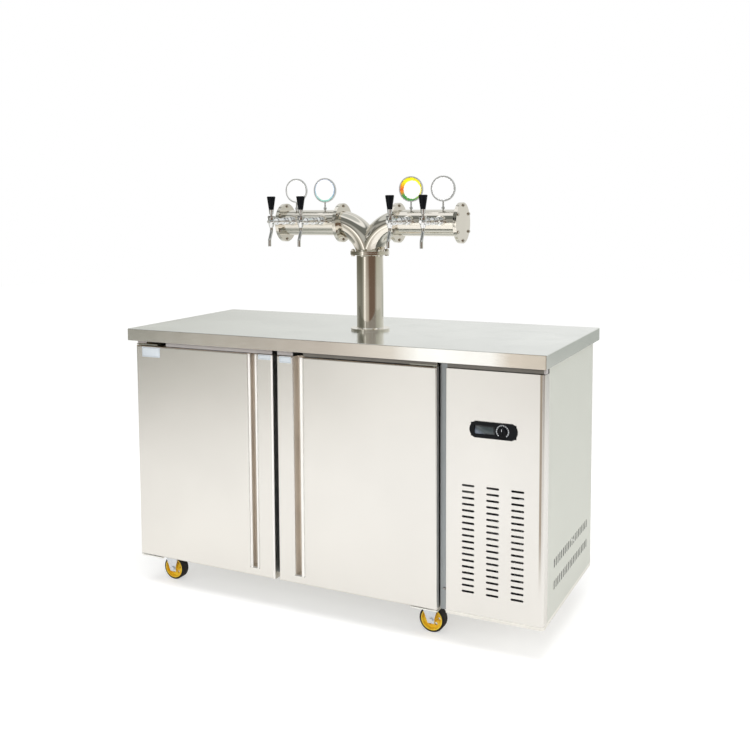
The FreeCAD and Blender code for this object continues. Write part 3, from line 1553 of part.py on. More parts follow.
def make_tap_body(number, x):
    level = tap_axis()
    seat = TOWER_Y - S.boss_reach
    y = TOWER_Y - S.tap_reach
    top, head_low = level + S.head_top, level - S.head_bottom
    tail = S.boss_reach - S.shank_tail
    nut_start = seat - S.barrel_nut_start - S.barrel_nut_length
    solid = fuse(
        "tap_fuse",
        rod("tap_shank", "Y", S.shank_radius, (x, seat, level), tail),
        tap_collar(x, seat, level),
        tap_barrel(f"tap_{number}_barrel", x, seat, level),
        hexagon("tap_barrel_nut", "Y", S.barrel_nut_radius, (x, nut_start, level), S.barrel_nut_length),
        ball("tap_head_ball", S.head_ball_radius, (x, y, level)),
        rod("tap_head", "Z", S.head_radius, (x, y, level), S.head_top),
        rod("tap_bonnet", "Z", S.bonnet_radius, (x, y, top - S.bonnet_drop), S.bonnet_height),
        hexagon("tap_plug", "Y", S.plug_radius, (x, y - S.plug_reach, level), S.plug_reach),
        cone("tap_spout_neck", "Z", (S.spout_neck_radius, S.spout_root_radius), (x, y, head_low),
             S.spout_neck_height),
        spout("tap_spout", x, y, head_low),
    )
    depth = S.head_bore_depth
    pin_length = (S.bonnet_radius + PAST) * 2
    return cut(
        "tap_cut", solid,
        rod("tap_head_bore", "Z", S.head_bore, (x, y, top - depth), depth + PAST),
        rod("tap_drop_way", "Z", S.waterway_radius, (x, y, head_low - PAST), S.head_bottom + PAST * 2),
        rod("tap_inlet_way", "Y", S.waterway_radius, (x, y, level), S.tap_reach - S.shank_tail + PAST),
        rod("tap_pin_bore", "X", S.pivot_pin_radius + S.running_clearance,
            (x - pin_length / 2, y, top - S.pivot_drop), pin_length),
        box("tap_lever_slot", about(x, S.lever_slot_width / 2), (y - S.bonnet_radius - PAST, y),
            (top - S.lever_slot_depth, top + PAST)),
    )


def make_lever(number, x):
    y = TOWER_Y - S.tap_reach
    pivot = tap_axis() + S.head_top - S.pivot_drop
    knuckle = ball("lever_ball", S.lever_ball, (x, y, pivot))
    pin = rod("lever_pin", "X", S.pivot_pin_radius, (x - S.head_radius, y, pivot), S.head_radius * 2)
    stem = rod("lever_stem_rod", "Z", S.lever_stem, (x, y, pivot), S.grip_start)
    ferrule = cone("lever_ferrule", "Z", (S.ferrule_low_radius, S.ferrule_radius),
                   (x, y, pivot + S.ferrule_start), S.grip_start - S.ferrule_start)
    node(f"tap_{number}_lever", fuse(f"tap_{number}_lever_fuse", knuckle, pin, stem, ferrule))

    grip = Solid(f"tap_{number}_handle")
    edge = S.grip_edge
    outline = [(ZERO, ZERO), (S.grip_bottom_radius - edge / 2, ZERO), (S.grip_bottom_radius, edge / 2),
               (S.grip_top_radius, S.grip_length - edge), (S.grip_top_radius - edge, S.grip_length),
               (ZERO, S.grip_length)]
    grip.revolve(grip.polygon("XZ_Plane", outline))
    node(f"tap_{number}_grip", grip.place(x, y, pivot + S.grip_start))


def make_taps():
    bodies = []
    for number, x in enumerate(tap_places(), start=1):
        bodies.append(make_tap_body(number, x))
        make_lever(number, x)
    node("tap_bodies", group("tap_group", bodies))


# ---------------------------------------------------------------- medallions


def make_medallions():
    frames = []
    faces = []
    y = TOWER_Y - S.medallion_forward
    half = S.medallion_thickness / 2
    centre = ARM_AXIS + S.medallion_height
    inner = S.medallion_radius - S.medallion_rim
    low = ARM_AXIS + S.arm_radius - S.stem_sink
    knob_level = ARM_AXIS + S.arm_radius + S.stem_ball_radius
    for x in tap_places():
        disc = rod("medallion_disc", "Y", S.medallion_radius, (x, y - half, centre), S.medallion_thickness)
        dish = rod("medallion_dish", "Y", inner, (x, y - half - PAST, centre),
                   S.medallion_recess + S.medallion_sheet + PAST)
        stem = rod("medallion_stem", "Z", S.stem_radius, (x, y, low),
                   centre - S.medallion_radius + S.stem_overlap - low)
        knob = ball("medallion_knob", S.stem_ball_radius, (x, y, knob_level))
        frames.append(cut("medallion_cut", fuse("medallion_fuse", disc, stem, knob), dish))
        faces.append(rod("medallion_face", "Y", inner, (x, y - half + S.medallion_recess, centre),
                         S.medallion_sheet))
    node("medallion_frames", group("medallion_frame_group", frames))
    node("medallion_faces", group("medallion_face_group", faces))


# ---------------------------------------------------------------- casters


def caster_places():
    x = (LEFT + S.caster_left, BAY - S.caster_right)
    y = (FRAME_FRONT + S.caster_inset, REAR - S.caster_inset)
    names = ("front_left", "front_right", "rear_left", "rear_right")
    points = ((x[0], y[0]), (x[1], y[0]), (x[0], y[1]), (x[1], y[1]))
    return dict(zip(names, points))


def crown_levels():
    low = S.wheel_radius * 2 + S.crown_clearance
    return low, low + S.crown_thickness


def leg(name, x, y, thickness):
    """A tapered fork leg from the crown down to the axle, thickness measured along Y."""
    blade = Solid(name)
    low, high = crown_levels()
    top, bottom = S.leg_top_width / 2, S.leg_bottom_width / 2
    axle = x + S.trail
    outline = [(axle - bottom, S.wheel_radius - bottom), (axle + bottom, S.wheel_radius - bottom),
               (axle + bottom, S.wheel_radius + bottom / 2), (x + top, low), (x + top, high), (x - top, high),
               (x - top, low)]
    blade.pad(blade.polygon("XZ_Plane", outline, -y), thickness, reverse=True)
    return blade.body


def make_casters():
    plates = []
    low, high = crown_levels()
    inner = S.wheel_width / 2 + S.wheel_side_clearance
    outer = inner + S.leg_thickness
    plate_low = S.caster_height - S.caster_plate_thickness
    half = S.caster_plate / 2
    for name, (x, y) in caster_places().items():
        plate = box("caster_top_plate", about(x, half), about(y, half), (plate_low, S.caster_height))
        race_low = high + S.race_gap
        race = rod("caster_race", "Z", S.race_radius, (x, y, race_low), plate_low - race_low)
        pin = rod("caster_kingpin", "Z", S.kingpin_radius, (x, y, low), plate_low - low)
        plates.append(fuse("caster_plate_fuse", plate, race, pin))

        axle_x = x + S.trail
        crown = rod("fork_crown", "Z", S.race_radius, (x, y, low), S.crown_thickness)
        bridge = box("fork_bridge", about(x, S.leg_top_width / 2), about(y, outer), (low, high))
        hole = rod("fork_kingpin_bore", "Z", S.kingpin_radius + S.running_clearance, (x, y, low - PAST),
                   S.crown_thickness + PAST * 2)
        front_leg = leg(f"{name}_front_leg", x, y - outer, S.leg_thickness)
        rear_leg = leg(f"{name}_rear_leg", x, y + inner, S.leg_thickness)
        axle = rod("fork_axle", "Y", S.hub_bore - S.running_clearance, (axle_x, y - outer, S.wheel_radius),
                   outer * 2)
        heads = [hexagon("fork_axle_head", "Y", S.axle_head_radius, (axle_x, head_y, S.wheel_radius),
                         S.axle_head_height) for head_y in (y - outer - S.axle_head_height, y + outer)]
        fork = fuse(f"{name}_fork_fuse", crown, bridge, front_leg, rear_leg, axle, *heads)
        node(f"caster_{name}_fork", cut(f"{name}_fork_cut", fork, hole))

        rotation = FreeCAD.Rotation(FreeCAD.Vector(1, 0, 0), -90)
        start = (axle_x, y - S.wheel_width / 2, S.wheel_radius)
        node(f"caster_{name}_hub", make_hub(f"{name}_wheel_hub").place(*start, rotation))
        node(f"caster_{name}_tyre", make_tyre(f"{name}_wheel_tyre").place(*start, rotation))
    node("caster_plates", group("caster_plate_group", plates))


def make_hub(name):
    """The wheel's hub about its own Z axis: bore, web with round pockets and rim."""
    hub = Solid(name)
    width = S.wheel_width
    radius = S.wheel_radius - S.tyre_thickness
    dish = (width - S.hub_web) / 2
    boss, rim, draft = S.hub_boss_radius, radius - S.hub_rim, S.hub_draft
    outline = [(S.hub_bore, ZERO), (boss, ZERO), (boss + draft, dish), (rim - draft, dish), (rim, ZERO),
               (radius, ZERO), (radius, width), (rim, width), (rim - draft, width - dish),
               (boss + draft, width - dish), (boss, width), (S.hub_bore, width)]
    hub.revolve(hub.polygon("XZ_Plane", outline))
    hole = hub.circles("XY_Plane", [(S.hub_pocket_circle, ZERO, S.hub_pocket_radius)], dish)
    hub.ring(hub.pocket(hole, S.hub_web, reverse=True), hole, S.hub_pocket_count)
    return hub


def make_tyre(name):
    tyre = Solid(name)
    inner = S.wheel_radius - S.tyre_thickness
    shoulder = S.tyre_shoulder
    outline = [(inner, ZERO), (S.wheel_radius - shoulder, ZERO), (S.wheel_radius, shoulder),
               (S.wheel_radius, S.wheel_width - shoulder), (S.wheel_radius - shoulder, S.wheel_width),
               (inner, S.wheel_width)]
    tyre.revolve(tyre.polygon("XZ_Plane", outline))
    return tyre


# ---------------------------------------------------------------- build and write


def build():
    make_worktop()
    make_compartment()
    make_face_frame()
    make_screws()
    make_brackets()
    make_door("left_door", LEFT_DOOR, 1)
    make_door("right_door", RIGHT_DOOR, -1)
    make_front_panel()
    make_side_panel()
    make_back_panel()
    make_tray()
    make_gland()
    make_compressor()
    make_condenser()
    make_pipes()
    make_evaporator()
    make_thermostat()
    make_column()
    make_elbows()
    make_arms()
    make_bolts()
    make_lines()
    make_taps()
    make_medallions()
    make_casters()


def check():
    doc.recompute()
    for obj in doc.Objects:
        if "Invalid" in obj.State or "Error" in obj.State:
            raise ValueError(f"{obj.Name} failed: {obj.State}")
    for name, solid in NODES.items():
        if solid.Shape.isNull() or not solid.Shape.isValid() or not solid.Shape.Solids:
            raise ValueError(f"{name} has no valid shape")


def write():
    os.makedirs("parts", exist_ok=True)
    for name, solid in NODES.items():
        solid.Shape.exportStep(os.path.join("parts", name + ".step"))
    print(len(NODES), "nodes")


build()
check()
write()
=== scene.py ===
"""Looks of the two-door keg cooler with its four-tap tower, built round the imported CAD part.

Lengths are in metres. X runs to the right as the front is seen, Y away from the viewer and Z up
from the floor. Sizes come from the boxes of the CAD nodes where those give them; the other ones
are small offsets that were judged from the photograph, and they have a name or stand in a table.
"""

import json
import math
from collections import namedtuple

import bmesh
import bpy
from mathutils import Matrix, Vector


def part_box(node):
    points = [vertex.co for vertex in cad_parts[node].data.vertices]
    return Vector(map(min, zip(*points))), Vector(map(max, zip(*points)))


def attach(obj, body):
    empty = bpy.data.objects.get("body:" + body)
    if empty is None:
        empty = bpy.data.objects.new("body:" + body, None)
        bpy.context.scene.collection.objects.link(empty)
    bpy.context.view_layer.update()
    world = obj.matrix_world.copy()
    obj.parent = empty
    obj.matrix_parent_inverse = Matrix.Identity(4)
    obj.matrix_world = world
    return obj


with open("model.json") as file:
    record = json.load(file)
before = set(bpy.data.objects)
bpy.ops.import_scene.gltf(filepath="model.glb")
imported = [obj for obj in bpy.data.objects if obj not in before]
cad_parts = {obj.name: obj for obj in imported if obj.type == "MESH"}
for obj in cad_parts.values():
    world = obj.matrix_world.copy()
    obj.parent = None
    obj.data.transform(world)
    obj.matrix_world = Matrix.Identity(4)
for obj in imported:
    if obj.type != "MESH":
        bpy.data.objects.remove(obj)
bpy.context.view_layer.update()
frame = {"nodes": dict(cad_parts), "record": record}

NODES = frame["nodes"]
Box = namedtuple("Box", "left front bottom right back top")


def box(node):
    """The sides of a CAD node's box, to the micrometre."""
    low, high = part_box(node)
    return Box(*(round(value, 6) for value in (*low, *high)))


WORKTOP = box("countertop")
CASING = box("outer_casing")
LEFT_DOOR = box("left_door_shell")
RIGHT_DOOR = box("right_door_shell")
FRONT_PANEL = box("machine_front_panel")
BEZEL = box("thermostat_housing")
KNOB = box("thermostat_knob")
MEDALLION_FACES = box("medallion_faces")


# ---------------------------------------------------------------- camera

CAMERA_PLACE = (1.491, -3.084, 1.361)
CAMERA_YAW, CAMERA_PITCH, CAMERA_ROLL = (math.radians(a) for a in (27.64, 4.84, -0.52))
SENSOR_WIDTH = 36.0  # in millimetres, as the focal length
PHOTO_WIDTH, FOCAL_PIXELS = 750, 989
FOCAL_LENGTH = SENSOR_WIDTH * FOCAL_PIXELS / PHOTO_WIDTH
SHIFT = (0.0621, -0.1199)
CLIP = (0.05, 100)


def make_camera():
    """The camera at the place, angle and lens that were fitted to the photograph."""
    data = bpy.data.cameras.new("photo_camera")
    data.sensor_width, data.lens = SENSOR_WIDTH, FOCAL_LENGTH
    data.shift_x, data.shift_y = SHIFT
    data.clip_start, data.clip_end = CLIP
    camera = bpy.data.objects.new("photo_camera", data)
    bpy.context.scene.collection.objects.link(camera)
    forward = Vector((-math.sin(CAMERA_YAW) * math.cos(CAMERA_PITCH),
                      math.cos(CAMERA_YAW) * math.cos(CAMERA_PITCH), -math.sin(CAMERA_PITCH)))
    level = Vector((math.cos(CAMERA_YAW), math.sin(CAMERA_YAW), 0))
    upward = level.cross(forward)
    right = level * math.cos(CAMERA_ROLL) + upward * math.sin(CAMERA_ROLL)
    upward = upward * math.cos(CAMERA_ROLL) - level * math.sin(CAMERA_ROLL)
    turn = Matrix((right, upward, -forward)).transposed().to_4x4()
    camera.matrix_world = Matrix.Translation(CAMERA_PLACE) @ turn
    bpy.context.scene.camera = camera


# ---------------------------------------------------------------- node building

WHITE = (1.0, 1.0, 1.0, 1.0)
BEVEL_SAMPLES = 4


def linear(value):
    """The linear strength of a 0 to 255 screen value."""
    level = value / 255
    return level / 12.92 if value <= 10 else ((level + 0.055) / 1.055) ** 2.4


def rgb(red, green, blue):
    """A linear colour from its 0 to 255 screen values."""
    return linear(red), linear(green), linear(blue), 1.0


def scaled(colour, share, lift=0.0):
    """The colour with its channels times share, plus lift, and none above 1."""
    return tuple(min(1.0, channel * share + lift) for channel in colour[:3]) + (1.0,)


class Tree:
    """A material's or world's node tree, filled by short calls that give output sockets."""

    def __init__(self, owner):
        """Starts with the owner's tree emptied."""
        owner.use_nodes = True
        self.tree = owner.node_tree
        self.tree.nodes.clear()

    def add(self, kind, inputs=None, **settings):
        """A new node with its own settings and with its inputs fed by name or number."""
        made = self.tree.nodes.new(kind)
        for key, value in settings.items():
            setattr(made, key, value)
        for key, value in (inputs or {}).items():
            self.feed(made.inputs[key], value)
        return made

    def feed(self, socket, value):
        """Links the socket to another one, or gives it a plain value; None leaves it alone."""
        if isinstance(value, bpy.types.NodeSocket):
            self.tree.links.new(value, socket)
        elif value is not None:
            socket.default_value = value

    def object_place(self, scale=(1, 1, 1), place=(0, 0, 0)):
        """Object coordinates; those of a CAD node are the frame's coordinates at rest."""
        source = self.add("ShaderNodeTexCoord").outputs["Object"]
        return self.add("ShaderNodeMapping",
                        {"Vector": source, "Scale": scale, "Location": place}).outputs[0]

    def split(self, vector):
        """The three components of a vector."""
        return tuple(self.add("ShaderNodeSeparateXYZ", {0: vector}).outputs)

    def place_xyz(self):
        """The components of the object coordinates."""
        return self.split(self.object_place())

    def normal(self):
        """The surface's plain normal."""
        return self.add("ShaderNodeNewGeometry").outputs["Normal"]

    def noise(self, vector, scale, detail=3.0, roughness=0.5, distortion=0.0):
        """Noise of about 0.3 to 0.7."""
        made = self.add("ShaderNodeTexNoise", {"Vector": vector, "Scale": scale, "Detail": detail,
                                               "Roughness": roughness, "Distortion": distortion})
        return made.outputs[0]

    def remap(self, value, low, high, to_low=0.0, to_high=1.0, smooth=False):
        """The value carried from one range to another and held at its ends."""
        made = self.add("ShaderNodeMapRange", {"Value": value, "From Min": low, "From Max": high,
                                               "To Min": to_low, "To Max": to_high})
        made.interpolation_type = "SMOOTHSTEP" if smooth else "LINEAR"
        return made.outputs[0]

    def fade(self, value, start, end):
        """0 at start, 1 at end and smooth between them."""
        return self.remap(value, start, end, smooth=True)

    def math(self, operation, first, second=None):
        """A math node's result from one or two values."""
        made = self.add("ShaderNodeMath", operation=operation)
        self.feed(made.inputs[0], first)
        self.feed(made.inputs[1], second)
        return made.outputs[0]

    def times(self, first, second):
        """The product of two values."""
        return self.math("MULTIPLY", first, second)

    def mix(self, factor, first, second, blend="MIX"):
        """The first colour where factor is 0 and the second where it is 1."""
        made = self.add("ShaderNodeMix", data_type="RGBA", blend_type=blend)
        self.feed(made.inputs[0], factor)
        self.feed(made.inputs[6], first)
        self.feed(made.inputs[7], second)
        return made.outputs[2]

    def ramp(self, factor, stops):
        """The colour at factor between (place, colour) stops."""
        made = self.add("ShaderNodeValToRGB", {"Fac": factor})
        elements = made.color_ramp.elements
        while len(elements) < len(stops):
            elements.new(0.5)
        for element, (place, colour) in zip(elements, stops):
            element.position = place
            element.color = colour
        return made.outputs[0]

    def bump(self, height, strength, distance, normal=None):
        """The normal bent by a height."""
        return self.add("ShaderNodeBump", {"Height": height, "Strength": strength,
                                           "Distance": distance, "Normal": normal}).outputs[0]

    def rounded(self, radius):
        """The normal with sharp edges rounded off."""
        return self.add("ShaderNodeBevel", {"Radius": radius}, samples=BEVEL_SAMPLES).outputs[0]

    def edges(self, radius):
        """About 1 along edges within radius and 0 on flat faces."""
        along = self.add("ShaderNodeVectorMath", {0: self.rounded(radius), 1: self.normal()},
                         operation="DOT_PRODUCT").outputs["Value"]
        return self.remap(along, 0.995, 0.86)

    def finish(self, **sockets):
        """The principled shader as the surface, fed by its sockets' names with _ for a space."""
        shader = self.add("ShaderNodeBsdfPrincipled")
        for key, value in sockets.items():
            self.feed(shader.inputs[key.replace("_", " ")], value)
        self.add("ShaderNodeOutputMaterial", {0: shader.outputs[0]})


def material(name):
    """A new material and its empty tree."""
    made = bpy.data.materials.new(name)
    return made, Tree(made)


# ---------------------------------------------------------------- kinds of material

def brushed(name, colour, rough, grain, fine=900.0, contrast=0.06, relief=0.06, edge=0.0012,
            cloud=0.05, smear=0.06, spread=0.05, metal=1.0):
    """Brushed sheet metal: squeezed grain, soft clouds of shade, hand smears and bright edges,
    partly wear and partly painted highlight.

    grain squeezes the lines by axis and fine scales them. contrast and cloud say how far lines
    and clouds change the shade, spread and smear how far lines and smears change the roughness.
    colour may be a function that builds a colour from the tree.
    """
    made, t = material(name)
    colour = colour(t) if callable(colour) else colour
    lines = t.noise(t.object_place(grain), fine, 4.0, 0.6)
    broad = t.noise(t.object_place(), 3.2, 2.0, 0.5, 0.4)
    touch = t.noise(t.object_place(place=(4.1, 1.7, 0.3)), 9.0, 5.0, 0.62, 0.8)
    shade = t.math("ADD", t.remap(lines, 0.3, 0.7, 1 - contrast, 1 + contrast),
                   t.remap(broad, 0.3, 0.7, -cloud, cloud))
    grey = t.add("ShaderNodeCombineColor", {0: shade, 1: shade, 2: shade}).outputs[0]
    tone = t.mix(1.0, colour, grey, "MULTIPLY")
    wear_and_highlight = t.edges(edge)
    # Lighter along the edges: partly wear, partly a painted highlight.
    tone = t.mix(t.times(wear_and_highlight, 0.5), tone, (0.95, 0.94, 0.92, 1.0))
    dull = t.math("ADD", t.remap(lines, 0.3, 0.7, rough - spread, rough + spread),
                  t.remap(touch, 0.45, 0.75, 0.0, smear))
    dull = t.math("SUBTRACT", dull, t.times(wear_and_highlight, 0.08))
    t.finish(Base_Color=tone, Metallic=metal, Roughness=dull,
             Normal=t.bump(lines, relief, 0.0004, t.rounded(edge * 0.6)))
    return made


def polished(name, colour, rough, scratch=0.35, edge=0.0008, ripple=0.02):
    """Mirror-polished tube or chrome with fine wiping scratches, faint haze and a slight ripple."""
    made, t = material(name)
    wipe = t.noise(t.object_place((1.0, 1.0, 9.0)), 160.0, 5.0, 0.7, 0.3)
    haze = t.noise(t.object_place(), 14.0, 3.0, 0.6)
    wave = t.noise(t.object_place(), 22.0, 1.0, 0.4)
    tone = t.mix(t.remap(haze, 0.35, 0.75, 0.0, 0.25), colour, scaled(colour, 0.86))
    tone = t.mix(t.times(t.edges(edge), 0.4), tone, (0.97, 0.96, 0.94, 1.0))
    dull = t.math("ADD", t.remap(wipe, 0.5, 0.8, rough, rough + scratch * 0.2),
                  t.remap(haze, 0.4, 0.8, 0.0, 0.05))
    height = t.math("ADD", wave, t.times(wipe, 0.05))
    t.finish(Base_Color=tone, Metallic=1.0, Roughness=dull,
             Normal=t.bump(height, ripple, 0.004, t.rounded(edge)))
    return made


def plastic(name, colour, second, rough, speck, relief=0.12, coat=0.0, edge=0.0006, blotch=8.0,
            gloss=0.5):
    """Moulded plastic or paint: orange peel, uneven gloss, drift of colour and rubbed edges.

    speck scales the orange peel and blotch the drift from colour to second.
    """
    made, t = material(name)
    grain = t.noise(t.object_place(), speck, 3.0, 0.6)
    drift = t.noise(t.object_place(place=(2.3, 0.4, 1.9)), blotch, 3.0, 0.55, 0.3)
    tone = t.mix(t.remap(drift, 0.35, 0.7), colour, second)
    tone = t.mix(t.times(t.edges(edge), 0.35), tone, scaled(second, 1.5, 0.01))
    dull = t.math("ADD", t.remap(grain, 0.35, 0.65, rough - 0.06, rough + 0.06),
                  t.remap(drift, 0.3, 0.7, -0.04, 0.04))
    t.finish(Base_Color=tone, Roughness=dull, Specular_IOR_Level=gloss, Coat_Weight=coat,
             Coat_Roughness=0.08, Normal=t.bump(grain, relief, 0.0003, t.rounded(edge)))
    return made


def rubber(name, colour, rough=0.72, speck=450.0):
    """Matt rubber with a fine grain and dust in patches."""
    made, t = material(name)
    grain = t.noise(t.object_place(), speck, 4.0, 0.7)
    dust = t.noise(t.object_place(), 24.0, 4.0, 0.6, 0.5)
    tone = t.mix(t.remap(dust, 0.45, 0.8, 0.0, 0.5), colour, scaled(colour, 2.2, 0.012))
    t.finish(Base_Color=tone, Roughness=t.remap(dust, 0.3, 0.8, rough - 0.08, rough + 0.1),
             Normal=t.bump(grain, 0.25, 0.0004))
    return made


def foam(name, colour):
    """Foam or board with small cells and a drift in tone."""
    made, t = material(name)
    cells = t.add("ShaderNodeTexVoronoi",
                  {"Vector": t.object_place(), "Scale": 650.0}).outputs["Distance"]
    drift = t.noise(t.object_place(), 11.0, 4.0, 0.6)
    tone = t.mix(t.remap(drift, 0.3, 0.75), colour, scaled(colour, 0.8))
    t.finish(Base_Color=tone, Roughness=0.9, Normal=t.bump(cells, 0.35, 0.0008))
    return made


def zinc(name, colour):
    """Zinc-plated stamping: pale spangle with a slight blue cast and dull patches."""
    made, t = material(name)
    spangle = t.add("ShaderNodeTexVoronoi",
                    {"Vector": t.object_place(), "Scale": 220.0}).outputs["Color"]
    drift = t.noise(t.object_place(), 30.0, 4.0, 0.6)
    fleck = t.add("ShaderNodeSeparateColor", {0: spangle}).outputs[0]
    tone = t.mix(t.remap(fleck, 0.0, 1.0, 0.0, 0.35), colour, rgb(190, 197, 205))
    tone = t.mix(t.times(t.edges(0.0006), 0.6), tone, (0.95, 0.95, 0.95, 1.0))
    t.finish(Base_Color=tone, Metallic=1.0, Roughness=t.remap(drift, 0.3, 0.7, 0.24, 0.42),
             Normal=t.bump(drift, 0.1, 0.0005))
    return made


# ---------------------------------------------------------------- tones that vary over a node

STEEL = rgb(233, 231, 228)
# Painted shade for faces inside the machine compartment, seen through its slits.
PAINTED_INTERIOR_SHADE = rgb(104, 106, 104)
MIDDLE_HEIGHT = 0.5
CASING_WALL = CASING.right - 0.0015
# Painted reflection along the worktop's front edge, by share of its width: warm tones and a stretch
# of painted glare.
WORKTOP_EDGE_PAINTED_REFLECTION = (
    (0.0, rgb(231, 230, 226)), (0.30, rgb(228, 223, 217)), (0.53, rgb(214, 206, 198)),
    (0.68, rgb(222, 216, 208)), (0.74, rgb(255, 255, 253)), (0.89, rgb(255, 255, 253)),
    (0.93, rgb(226, 217, 206)), (1.0, rgb(222, 214, 202)),
)


def worktop_painted_reflection_tone(t):
    """Steel whose folded front edge carries a painted reflection: warmer, with one stretch of
    painted glare brighter than the rest.
    """
    across = t.remap(t.place_xyz()[0], WORKTOP.left, WORKTOP.right)
    forward = t.remap(t.split(t.normal())[1], -0.5, -0.8)
    return t.mix(forward, rgb(234, 236, 232), t.ramp(across, WORKTOP_EDGE_PAINTED_REFLECTION))


def bracket_painted_light_tone(t):
    """The lower hinge brackets are painted light and the upper ones under the worktop are painted
    in shade.
    """
    painted_shade_upper = t.math("GREATER_THAN", t.place_xyz()[2], MIDDLE_HEIGHT)
    return t.mix(painted_shade_upper, rgb(246, 246, 242), rgb(168, 168, 158))


def casing_painted_shade_tone(t):
    """The casing's wall inside the machine compartment is painted in shade."""
    inside = t.math("GREATER_THAN", t.place_xyz()[0], CASING_WALL)
    return t.mix(inside, rgb(222, 222, 216), PAINTED_INTERIOR_SHADE)


def panel_painted_reflection_tone(t):
    """Bright sheet with a painted reflection beside the bend at its right: a brown line that fades
    low down.
    """
    across, _, level = t.place_xyz()
    line = t.times(t.fade(across, FRONT_PANEL.right - 0.0170, FRONT_PANEL.right - 0.0145),
                   t.fade(across, FRONT_PANEL.right - 0.0080, FRONT_PANEL.right - 0.0100))
    return t.mix(t.times(line, t.fade(level, 0.18, 0.42)), STEEL, rgb(164, 152, 138))


def side_painted_shade_tone(t):
    """The compartment's panels are bright outside and painted in shade on their inner faces."""
    x, y, _ = t.split(t.normal())
    inner = t.math("MAXIMUM", t.remap(x, -0.4, -0.7), t.remap(y, -0.4, -0.7))
    return t.mix(inner, rgb(215, 217, 209), PAINTED_INTERIOR_SHADE)


# ---------------------------------------------------------------- materials

ALONG_Z = (1.0, 1.0, 0.03)  # grain that runs up the sheet
SMOOTH_SHEET = {"contrast": 0.010, "relief": 0.003, "cloud": 0.02, "smear": 0.012, "spread": 0.02}
MATERIALS = {
    "worktop_steel": brushed("worktop_steel", worktop_painted_reflection_tone, 0.17, (0.03, 1.0, 1.0), 700.0,
                             0.04, 0.03),
    "door_steel": brushed("door_steel", STEEL, 0.24, ALONG_Z, **SMOOTH_SHEET),
    "panel_steel": brushed("panel_steel", panel_painted_reflection_tone, 0.24, ALONG_Z, **SMOOTH_SHEET),
    "frame_steel": brushed("frame_steel", rgb(152, 157, 160), 0.3, (1.0, 1.0, 0.05), 650.0),
    "casing_steel": brushed("casing_steel", casing_painted_shade_tone, 0.36, (1.0, 1.0, 0.04), 650.0),
    "liner_sheet": brushed("liner_sheet", rgb(226, 228, 228), 0.42, (1.0, 1.0, 0.2), 300.0,
                           0.05, 0.04),
    "base_steel": brushed("base_steel", rgb(240, 238, 233), 0.4, (0.05, 1.0, 1.0), 500.0),
    "bracket_steel": brushed("bracket_steel", bracket_painted_light_tone, 0.38, (0.2, 1.0, 1.0), 500.0),
    "screw_steel": polished("screw_steel", rgb(150, 150, 150), 0.22),
    "bolt_steel": polished("bolt_steel", rgb(226, 222, 214), 0.16),
    "tower_steel": polished("tower_steel", rgb(238, 233, 223), 0.05),
    "tap_chrome": polished("tap_chrome", rgb(240, 241, 242), 0.04, 0.2),
    "copper": polished("copper", rgb(214, 138, 98), 0.24, 0.5),
    "fin_aluminium": brushed("fin_aluminium", rgb(212, 214, 216), 0.4, (1.0, 1.0, 0.2), 400.0),
    "zinc": zinc("zinc", rgb(222, 226, 232)),
    "black_plastic": plastic("black_plastic", rgb(8, 9, 12), rgb(12, 13, 17), 0.3, 500.0, 0.06,
                             gloss=0.2),
    "black_enamel": plastic("black_enamel", rgb(15, 15, 16), rgb(25, 25, 26), 0.34, 260.0, 0.2,
                            coat=0.4),
    "black_gloss": plastic("black_gloss", rgb(5, 7, 11), rgb(9, 12, 18), 0.2, 900.0, 0.02,
                           coat=0.08, gloss=0.12),
    "liner_plastic": plastic("liner_plastic", rgb(228, 230, 230), rgb(216, 219, 221), 0.42, 500.0),
    "line_plastic": plastic("line_plastic", rgb(206, 214, 220), rgb(186, 198, 208), 0.24, 500.0,
                            0.05, coat=0.3),
    "medallion_face": plastic("medallion_face", rgb(250, 250, 249), rgb(243, 244, 243), 0.28,
                              500.0, 0.03, coat=0.5),
    "yellow_plastic": plastic("yellow_plastic", rgb(255, 224, 66), rgb(243, 184, 32), 0.36, 300.0,
                              0.2, blotch=75.0),
    "tyre_black": rubber("tyre_black", rgb(17, 13, 12)),
    "gasket_rubber": rubber("gasket_rubber", rgb(62, 58, 52), 0.6),
    "foam": foam("foam", rgb(232, 214, 168)),
    "core_board": foam("core_board", rgb(176, 142, 98)),
}
SIDE_STEEL = brushed("side_steel", side_painted_shade_tone, 0.5, ALONG_Z, 700.0, 0.02, 0.02, cloud=0.01,
                     smear=0.03, metal=0.35)
CHANNEL_SATIN = plastic("channel_satin", rgb(224, 213, 199), rgb(211, 200, 186), 0.34, 600.0, 0.04)
# Near-white plastic for the doors' rolled edges: a painted highlight.
PAINTED_HIGHLIGHT_SATIN = plastic("painted_highlight_satin", rgb(252, 250, 246), rgb(246, 243, 238), 0.36, 600.0, 0.03)
# Pale strip colour that paints light into the shaded gap under the worktop, and a grey one that
# paints its shade.
HEADER_PAINTED_LIGHT = plastic("header_painted_light", rgb(196, 192, 192), rgb(186, 182, 181), 0.4, 500.0, 0.04)
HEADER_PAINTED_SHADE = plastic("header_painted_shade", rgb(128, 125, 119), rgb(116, 113, 107), 0.4, 500.0,
                       0.04)
RIM_STEEL = brushed("medallion_rim", rgb(226, 228, 228), 0.42, (1.0, 1.0, 1.0), 500.0, 0.04, 0.03)
OWN_FINISHES = {"machine_side_panel": SIDE_STEEL, "machine_back_panel": SIDE_STEEL,
                "medallion_frames": RIM_STEEL}


def dress_nodes():
    """Every CAD node takes its own finish, or else the material of its slot in the record."""
    for part in frame["record"]["subparts"]:
        finish = OWN_FINISHES.get(part["node"], MATERIALS[part["material_slot"]])
        target = NODES[part["node"]]
        target.data.materials.clear()
        target.data.materials.append(finish)


# ---------------------------------------------------------------- mesh pieces

